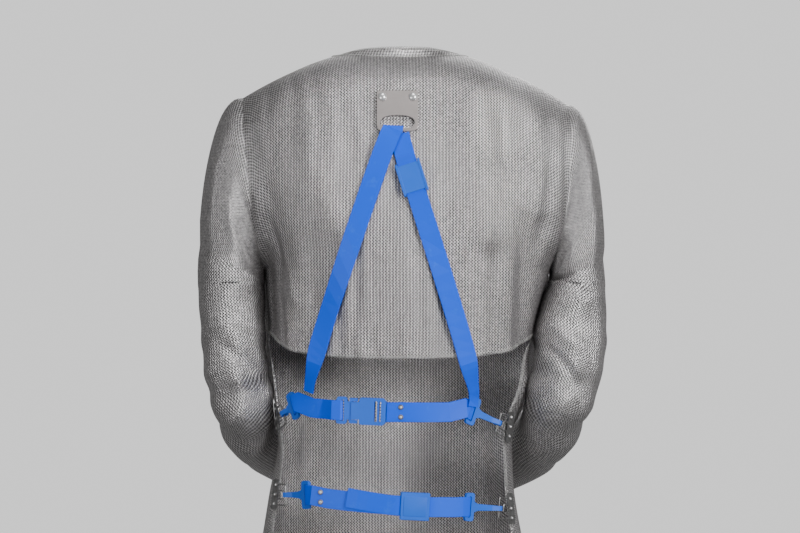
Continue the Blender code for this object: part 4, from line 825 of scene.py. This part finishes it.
def border_rings(points, normals, edge, rows, pitch):
    """Frames of rings in rows beside an edge of a net, 0 for its first row of points and -1 for its
    last. The first row's rings stand half past the edge."""
    line = points[edge]
    towards = points[edge + 1 if edge == 0 else edge - 1] - line
    last = len(line) - 1.001    # just before the line's last point
    centres, forwards, outwards, leans = [], [], [], []
    for row in range(rows):
        places = even_places(line, pitch)
        if row % 2:
            places = (places[:-1] + places[1:]) / 2
        middle = sample(line, places)
        ahead = sample(line, np.minimum(places + 0.5, last))
        ahead -= sample(line, np.maximum(places - 0.5, 0))
        ahead /= np.linalg.norm(ahead, axis=1, keepdims=True)
        out = sample(normals[edge], places)
        inwards = sample(towards, places)
        inwards /= np.linalg.norm(inwards, axis=1, keepdims=True)
        centres.append(middle + inwards * (PITCH_DOWN / 2 * row) + out * BORDER_LIFT)
        forwards.append(ahead)
        outwards.append(out)
        leans.append(np.full(len(places), BORDER_LEAN if row % 2 else -BORDER_LEAN))
    return tuple(np.concatenate(part) for part in (centres, forwards, outwards, leans))


def fitted(name, data, finish):
    """A smooth piece that rides on the garment."""
    data.shade_smooth()
    data.materials.append(finish)
    made = add(name, data)
    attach(made, "root")
    return made


def ring_mesh(name, *frames):
    """All the rings of a border, joined in one mesh."""
    centres, ahead, out, lean = (np.concatenate(part) for part in zip(*frames))
    out = out - ahead * np.sum(out * ahead, axis=1, keepdims=True)
    out /= np.linalg.norm(out, axis=1, keepdims=True)
    beside = np.cross(out, ahead)
    turned_ahead = ahead * np.cos(lean)[:, None] + out * np.sin(lean)[:, None]
    axis = np.cross(turned_ahead, beside)
    big = 2 * np.pi * np.arange(RING_SIDES) / RING_SIDES
    small = 2 * np.pi * np.arange(WIRE_SIDES) / WIRE_SIDES
    away = RING_RADIUS + WIRE_RADIUS * np.cos(small)
    local = np.stack([np.outer(np.cos(big), away), np.outer(np.sin(big), away),
                      np.tile(WIRE_RADIUS * np.sin(small), (RING_SIDES, 1))], axis=-1).reshape(-1, 3)
    basis = np.stack([turned_ahead, beside, axis], axis=1)
    verts = (centres[:, None] + local @ basis).reshape(-1, 3)
    grid = np.arange(RING_SIDES * WIRE_SIDES).reshape(RING_SIDES, WIRE_SIDES)
    right, up = np.roll(grid, -1, axis=0), np.roll(grid, -1, axis=1)
    quads = np.stack([grid, right, np.roll(right, -1, axis=1), up], axis=-1).reshape(-1, 4)
    faces = (np.arange(len(centres))[:, None, None] * len(local) + quads).reshape(-1, 4)
    data = bpy.data.meshes.new(name)
    data.from_pydata(verts.tolist(), [], faces.tolist())
    fitted(name, data, bright_rings)


bright_rings = new_finish("ring_steel", ring_steel)
ring_mesh("hem_rings_back", border_rings(back_points, back_normals, -1, 2, PITCH_ACROSS))
ring_mesh("hem_rings_front", border_rings(front_points, front_normals, -1, 2, PITCH_ACROSS))
free_points, free_normals = (part[hem_row:].swapaxes(0, 1) for part in (front_points, front_normals))
for name, edge in (("left", 0), ("right", -1)):
    ring_mesh("edge_rings_" + name, border_rings(free_points, free_normals, edge, 3, EDGE_PITCH))
ring_mesh("neck_rings", border_rings(band_points, band_normals, -1, 2, EDGE_PITCH),
          border_rings(band_points, band_normals, 0, 1, SEAM_PITCH))
for name, hand in (("left", LEFT), ("right", RIGHT)):
    points, normals, _ = sleeves[hand]
    ring_mesh("cuff_rings_" + name, border_rings(points, normals, -1, 2, PITCH_ACROSS))


# Strap plate: a satin steel plate with a D-shaped slot, riveted to the mail between the shoulder
# blades. Its face is left bare.
def satin_steel(start):
    place = start.node("TexCoord", outlet="Object")
    stretched = start.node("Mapping", {}, {"Vector": place, "Scale": (1.0, 14.0, 14.0)})
    grain = speckle(start, 160.0, 3.0, stretched)
    cloud = speckle(start, 60.0, 2.0, place)
    colour = blend_colours(start, 0.5 * grain + 0.5 * cloud, colour_of(0.36, (1.0, 0.91, 0.89)),
                           colour_of(0.50, (1.0, 0.92, 0.90)))
    bump = start.node("Bump", {}, {"Strength": 0.25, "Distance": 0.0001, "Height": grain})
    return {"Base Color": colour, "Roughness": 0.30 + 0.2 * grain, "Metallic": 0.85, "Normal": bump}


FLAT_ANGLE = math.radians(0.5)  # faces that turn by less than this are one face
EDGE_ANGLE = math.radians(35)   # a sharper turn than this is an edge


def flat_faces(node):
    """A CAD piece's mesh with each flat area as one face."""
    mesh = bmesh.new()
    mesh.from_mesh(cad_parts[node].data)
    bmesh.ops.remove_doubles(mesh, verts=mesh.verts, dist=MERGED)
    bmesh.ops.dissolve_limit(mesh, angle_limit=FLAT_ANGLE, verts=mesh.verts, edges=mesh.edges)
    return mesh


def refined(name, node, finish, bevel=0.0004, steps=2):
    """A copy of a CAD piece with its edges rounded, in its place."""
    data = mesh_data(name, flat_faces(node))
    made = fitted(name, data, finish)
    data.set_sharp_from_angle(angle=EDGE_ANGLE)
    soft = made.modifiers.new("edges", "BEVEL")
    soft.width = bevel
    soft.segments = steps
    soft.limit_method = "ANGLE"
    soft.angle_limit = EDGE_ANGLE
    soft.use_clamp_overlap = True
    flow = made.modifiers.new("flow", "WEIGHTED_NORMAL")
    flow.keep_sharp = True
    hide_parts(node)


plate_finish = new_finish("satin_steel", satin_steel)
refined("plate", "strap_plate", plate_finish, 0.0003)


def polished(start):
    tone = speckle(start, 300.0, 2.0)
    return {"Base Color": blend_colours(start, tone, colour_of(0.72), colour_of(0.88)),
            "Roughness": 0.24 + 0.1 * tone, "Metallic": 0.75}


def rivet_frame(node):
    """Middle of a rivet and its outward direction, from the CAD piece's faces that look back."""
    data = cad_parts[node].data
    total = Vector()
    for face in data.polygons:
        if face.normal.y < 0:
            total += face.normal * face.area
    low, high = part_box(node)
    return (low + high) / 2, total.normalized()


# A domed head's profile, from its top down, as shares of its radius and height
DOME = [(0.0, 1.0), (0.30, 0.97), (0.55, 0.86), (0.78, 0.64), (0.93, 0.36), (1.0, 0.08), (1.0, -0.4)]
PLATE_DOME = (0.0056, 0.0034)   # radius and height
PLATE_DOME_SINK = 0.0010        # how far its foot is below the rivet's middle
LATHE_SIDES = 28


def lathe(name, profile, place, normal, size, finish):
    """A round piece turned from a profile, standing on its place along the normal."""
    radius, height = size
    mesh = bmesh.new()
    turn = normal.to_track_quat("Z", "Y").to_matrix()
    rings = []
    for r, h in profile:
        if r == 0.0:
            rings.append([mesh.verts.new(place + turn @ Vector((0, 0, h * height)))])
            continue
        angles = [2 * math.pi * k / LATHE_SIDES for k in range(LATHE_SIDES)]
        ring = [Vector((r * radius * math.cos(a), r * radius * math.sin(a), h * height)) for a in angles]
        rings.append([mesh.verts.new(place + turn @ point) for point in ring])
    for a, b in zip(rings, rings[1:]):
        for k in range(LATHE_SIDES):
            n = (k + 1) % LATHE_SIDES
            if len(a) == 1:
                mesh.faces.new((a[0], b[k], b[n]))
            elif len(b) == 1:
                mesh.faces.new((a[n], a[k], b[0]))
            else:
                mesh.faces.new((a[k], b[k], b[n], a[n]))
    return fitted(name, mesh_data(name, mesh), finish)


dome_finish = new_finish("polished_steel", polished)
for part in ("left", "right"):
    place, normal = rivet_frame("plate_rivet_" + part)
    foot = place - normal * PLATE_DOME_SINK
    dome = lathe("plate_dome_" + part, DOME, foot, normal, PLATE_DOME, dome_finish)
    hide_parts("plate_rivet_" + part)


# Braces: two flat straps of blue plastic that run from the plate to the waist belt. The left one lies
# over the right one, which a moulded slider holds.
def blue_strap(start):
    tone = speckle(start, 14.0, 3.0)
    fine = speckle(start, 900.0, 2.0)
    scuff = speckle(start, 60.0, 4.0, roughness=0.65)
    marks = start.node("MapRange", {}, {"Value": scuff, "From Min": 0.60, "From Max": 0.78})
    base = blend_colours(start, tone, (0.0, 0.086, 0.82, 1.0), (0.0, 0.106, 0.92, 1.0))
    colour = blend_colours(start, marks * 0.25, base, (0.05, 0.26, 0.95, 1.0))
    bump = start.node("Bump", {}, {"Strength": 0.12, "Distance": 0.0001, "Height": fine})
    return {"Base Color": colour, "Roughness": 0.36 + 0.10 * tone + 0.12 * marks, "Normal": bump,
            "Specular IOR Level": 0.16}


def moulded_blue(start):
    """The slightly paler, matt blue of the moulded fittings."""
    tone = speckle(start, 30.0, 3.0)
    fine = speckle(start, 1400.0, 2.0)
    bump = start.node("Bump", {}, {"Strength": 0.2, "Distance": 0.0001, "Height": fine})
    colour = blend_colours(start, tone, (0.004, 0.112, 0.66, 1.0), (0.010, 0.140, 0.76, 1.0))
    return {"Base Color": colour, "Roughness": 0.42 + 0.12 * tone, "Normal": bump, "Specular IOR Level": 0.35}


strap_finish = new_finish("blue_plastic", blue_strap)
moulded_finish = new_finish("moulded_blue", moulded_blue)
refined("brace_left", "brace_strap_left", strap_finish)
refined("brace_right", "brace_strap_right", strap_finish)
refined("brace_slide", "brace_slider", moulded_finish, 0.0005, 3)


def flat_frame(node):
    """Middle of a CAD piece's widest outer face, its outward normal and its longer direction."""
    mesh = flat_faces(node)
    outer = [face for face in mesh.faces if face.normal.to_2d().dot(face.calc_center_median().to_2d()) > 0]
    widest = max(outer, key=lambda face: face.calc_area())
    edge = max(widest.edges, key=lambda edge: edge.calc_length())
    normal = widest.normal.copy()
    along = (edge.verts[1].co - edge.verts[0].co).normalized()
    beside = normal.cross(along)
    spots = [vert.co.copy() for vert in widest.verts]
    mesh.free()
    middle = normal * spots[0].dot(normal)
    for axis in (along, beside):
        reach = [spot.dot(axis) for spot in spots]
        middle += axis * (min(reach) + max(reach)) / 2
    return middle, normal, along


PANEL_RISE = 0.0007     # of the raised panel on a slider's face, and its corners
PANEL_CORNER = 0.0020
CORNER_STEPS = 6
# Its side, from the foot up: height as a share of its rise, and how far it has drawn in
PANEL_SIDE = [(-1.0, 0.0), (0.6, 0.0), (0.9, 0.00015), (1.0, 0.0004)]
BRACE_PANEL = (0.0222, 0.0320)  # width and length


def raised_panel(name, node, size):
    """The low panel moulded on a slider's face, with a groove left all round it."""
    width, length = size
    middle, normal, along = flat_frame(node)
    beside = along.cross(normal)
    corners = []
    for x, y, turn in ((1, 1, 0), (-1, 1, 1), (-1, -1, 2), (1, -1, 3)):
        for k in range(CORNER_STEPS + 1):
            angle = math.pi / 2 * (turn + k / CORNER_STEPS)
            corners.append((x * (width / 2 - PANEL_CORNER) + PANEL_CORNER * math.cos(angle),
                            y * (length / 2 - PANEL_CORNER) + PANEL_CORNER * math.sin(angle)))
    mesh = bmesh.new()
    rings = []
    for rise, inset in PANEL_SIDE:
        shrink_x, shrink_y = 1 - 2 * inset / width, 1 - 2 * inset / length
        level = middle + normal * (rise * PANEL_RISE)
        rings.append([mesh.verts.new(level + beside * x * shrink_x + along * y * shrink_y)
                      for x, y in corners])
    for low, high in zip(rings, rings[1:]):
        for k in range(len(corners)):
            n = (k + 1) % len(corners)
            mesh.faces.new((low[k], low[n], high[n], high[k]))
    mesh.faces.new(rings[-1])
    mesh.faces.new(rings[0][::-1])
    bmesh.ops.recalc_face_normals(mesh, faces=mesh.faces)
    data = mesh_data(name, mesh)
    fitted(name, data, moulded_finish)
    data.set_sharp_from_angle(angle=EDGE_ANGLE)


raised_panel("brace_slide_panel", "brace_slider", BRACE_PANEL)


# Waist belt: two lengths of the same strap between the side hooks, closed by a side-release buckle.
# Two steel rivets hold the right-hand strap's fold.
def dull_steel(start):
    tone = speckle(start, 220.0, 3.0)
    return {"Base Color": blend_colours(start, tone, colour_of(0.14, (1.0, 0.97, 0.94)), colour_of(0.38)),
            "Roughness": 0.24 + 0.25 * tone, "Metallic": 0.9}


dull_finish = new_finish("dull_steel", dull_steel)
refined("waist_strap_left", "waist_belt_left", strap_finish)
refined("waist_strap_right", "waist_belt_right", strap_finish)
refined("buckle_plug", "waist_buckle_plug", moulded_finish, 0.0006, 3)
refined("buckle_socket", "waist_buckle_socket", moulded_finish, 0.0009, 3)
WASHER = [(0.50, 0.9), (0.72, 1.0), (0.92, 0.7), (1.0, 0.2), (1.0, -0.5)]
BELT_EYELET = (0.0034, 0.0012)  # radius and height
BELT_HEAD = (0.0019, 0.0016)
BELT_HEAD_SINK = 0.0004


def belt_rivet(node):
    """A dull eyelet with a bright domed head in it."""
    place, normal = rivet_frame(node)
    foot = place - normal * BELT_HEAD_SINK
    eyelet = lathe(node + "_eyelet", WASHER, foot, normal, BELT_EYELET, dull_finish)
    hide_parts(node)
    lathe(node + "_head", DOME, foot, normal, BELT_HEAD, dome_finish)


for part in ("upper", "lower"):
    belt_rivet("waist_rivet_" + part)


# Hip belt: two overlapping straps held by a moulded slider, with two rivets near the left hook.
HIP_PANEL = (0.0250, 0.0300)
refined("hip_strap_left", "hip_belt_left", strap_finish)
refined("hip_strap_right", "hip_belt_right", strap_finish)
refined("hip_slide", "hip_slider", moulded_finish, 0.0007, 3)
raised_panel("hip_slide_panel", "hip_slider", HIP_PANEL)
for part in ("upper", "lower"):
    belt_rivet("hip_rivet_" + part)


# Hooks and eyes: moulded plastic hooks with a slot for the belt, each curled round a wire loop that is
# welded to a small steel plate on the free edge of the front.
EYE_RIVETS_APART = 0.0125
EYE_WASHER = (0.0031, 0.0009)   # radius and height
EYE_HEAD = (0.0018, 0.0015)
for level in ("waist", "hip"):
    for part in ("left", "right"):
        hook = f"{level}_hook_{part}"
        refined(f"{level}_side_hook_{part}", hook, moulded_finish, 0.0007, 3)
        node = f"eye_plate_{level}_{part}"
        refined(f"{level}_eye_{part}", node, dull_finish, 0.0002)
        middle, normal, along = flat_frame(node)
        for k in (-1, 0, 1):
            spot = middle + along * (k * EYE_RIVETS_APART)
            washer = f"{level}_eye_{part}_washer_{k + 2}"
            lathe(washer, WASHER, spot, normal, EYE_WASHER, dull_finish)
            lathe(washer + "_head", DOME, spot, normal, EYE_HEAD, dome_finish)
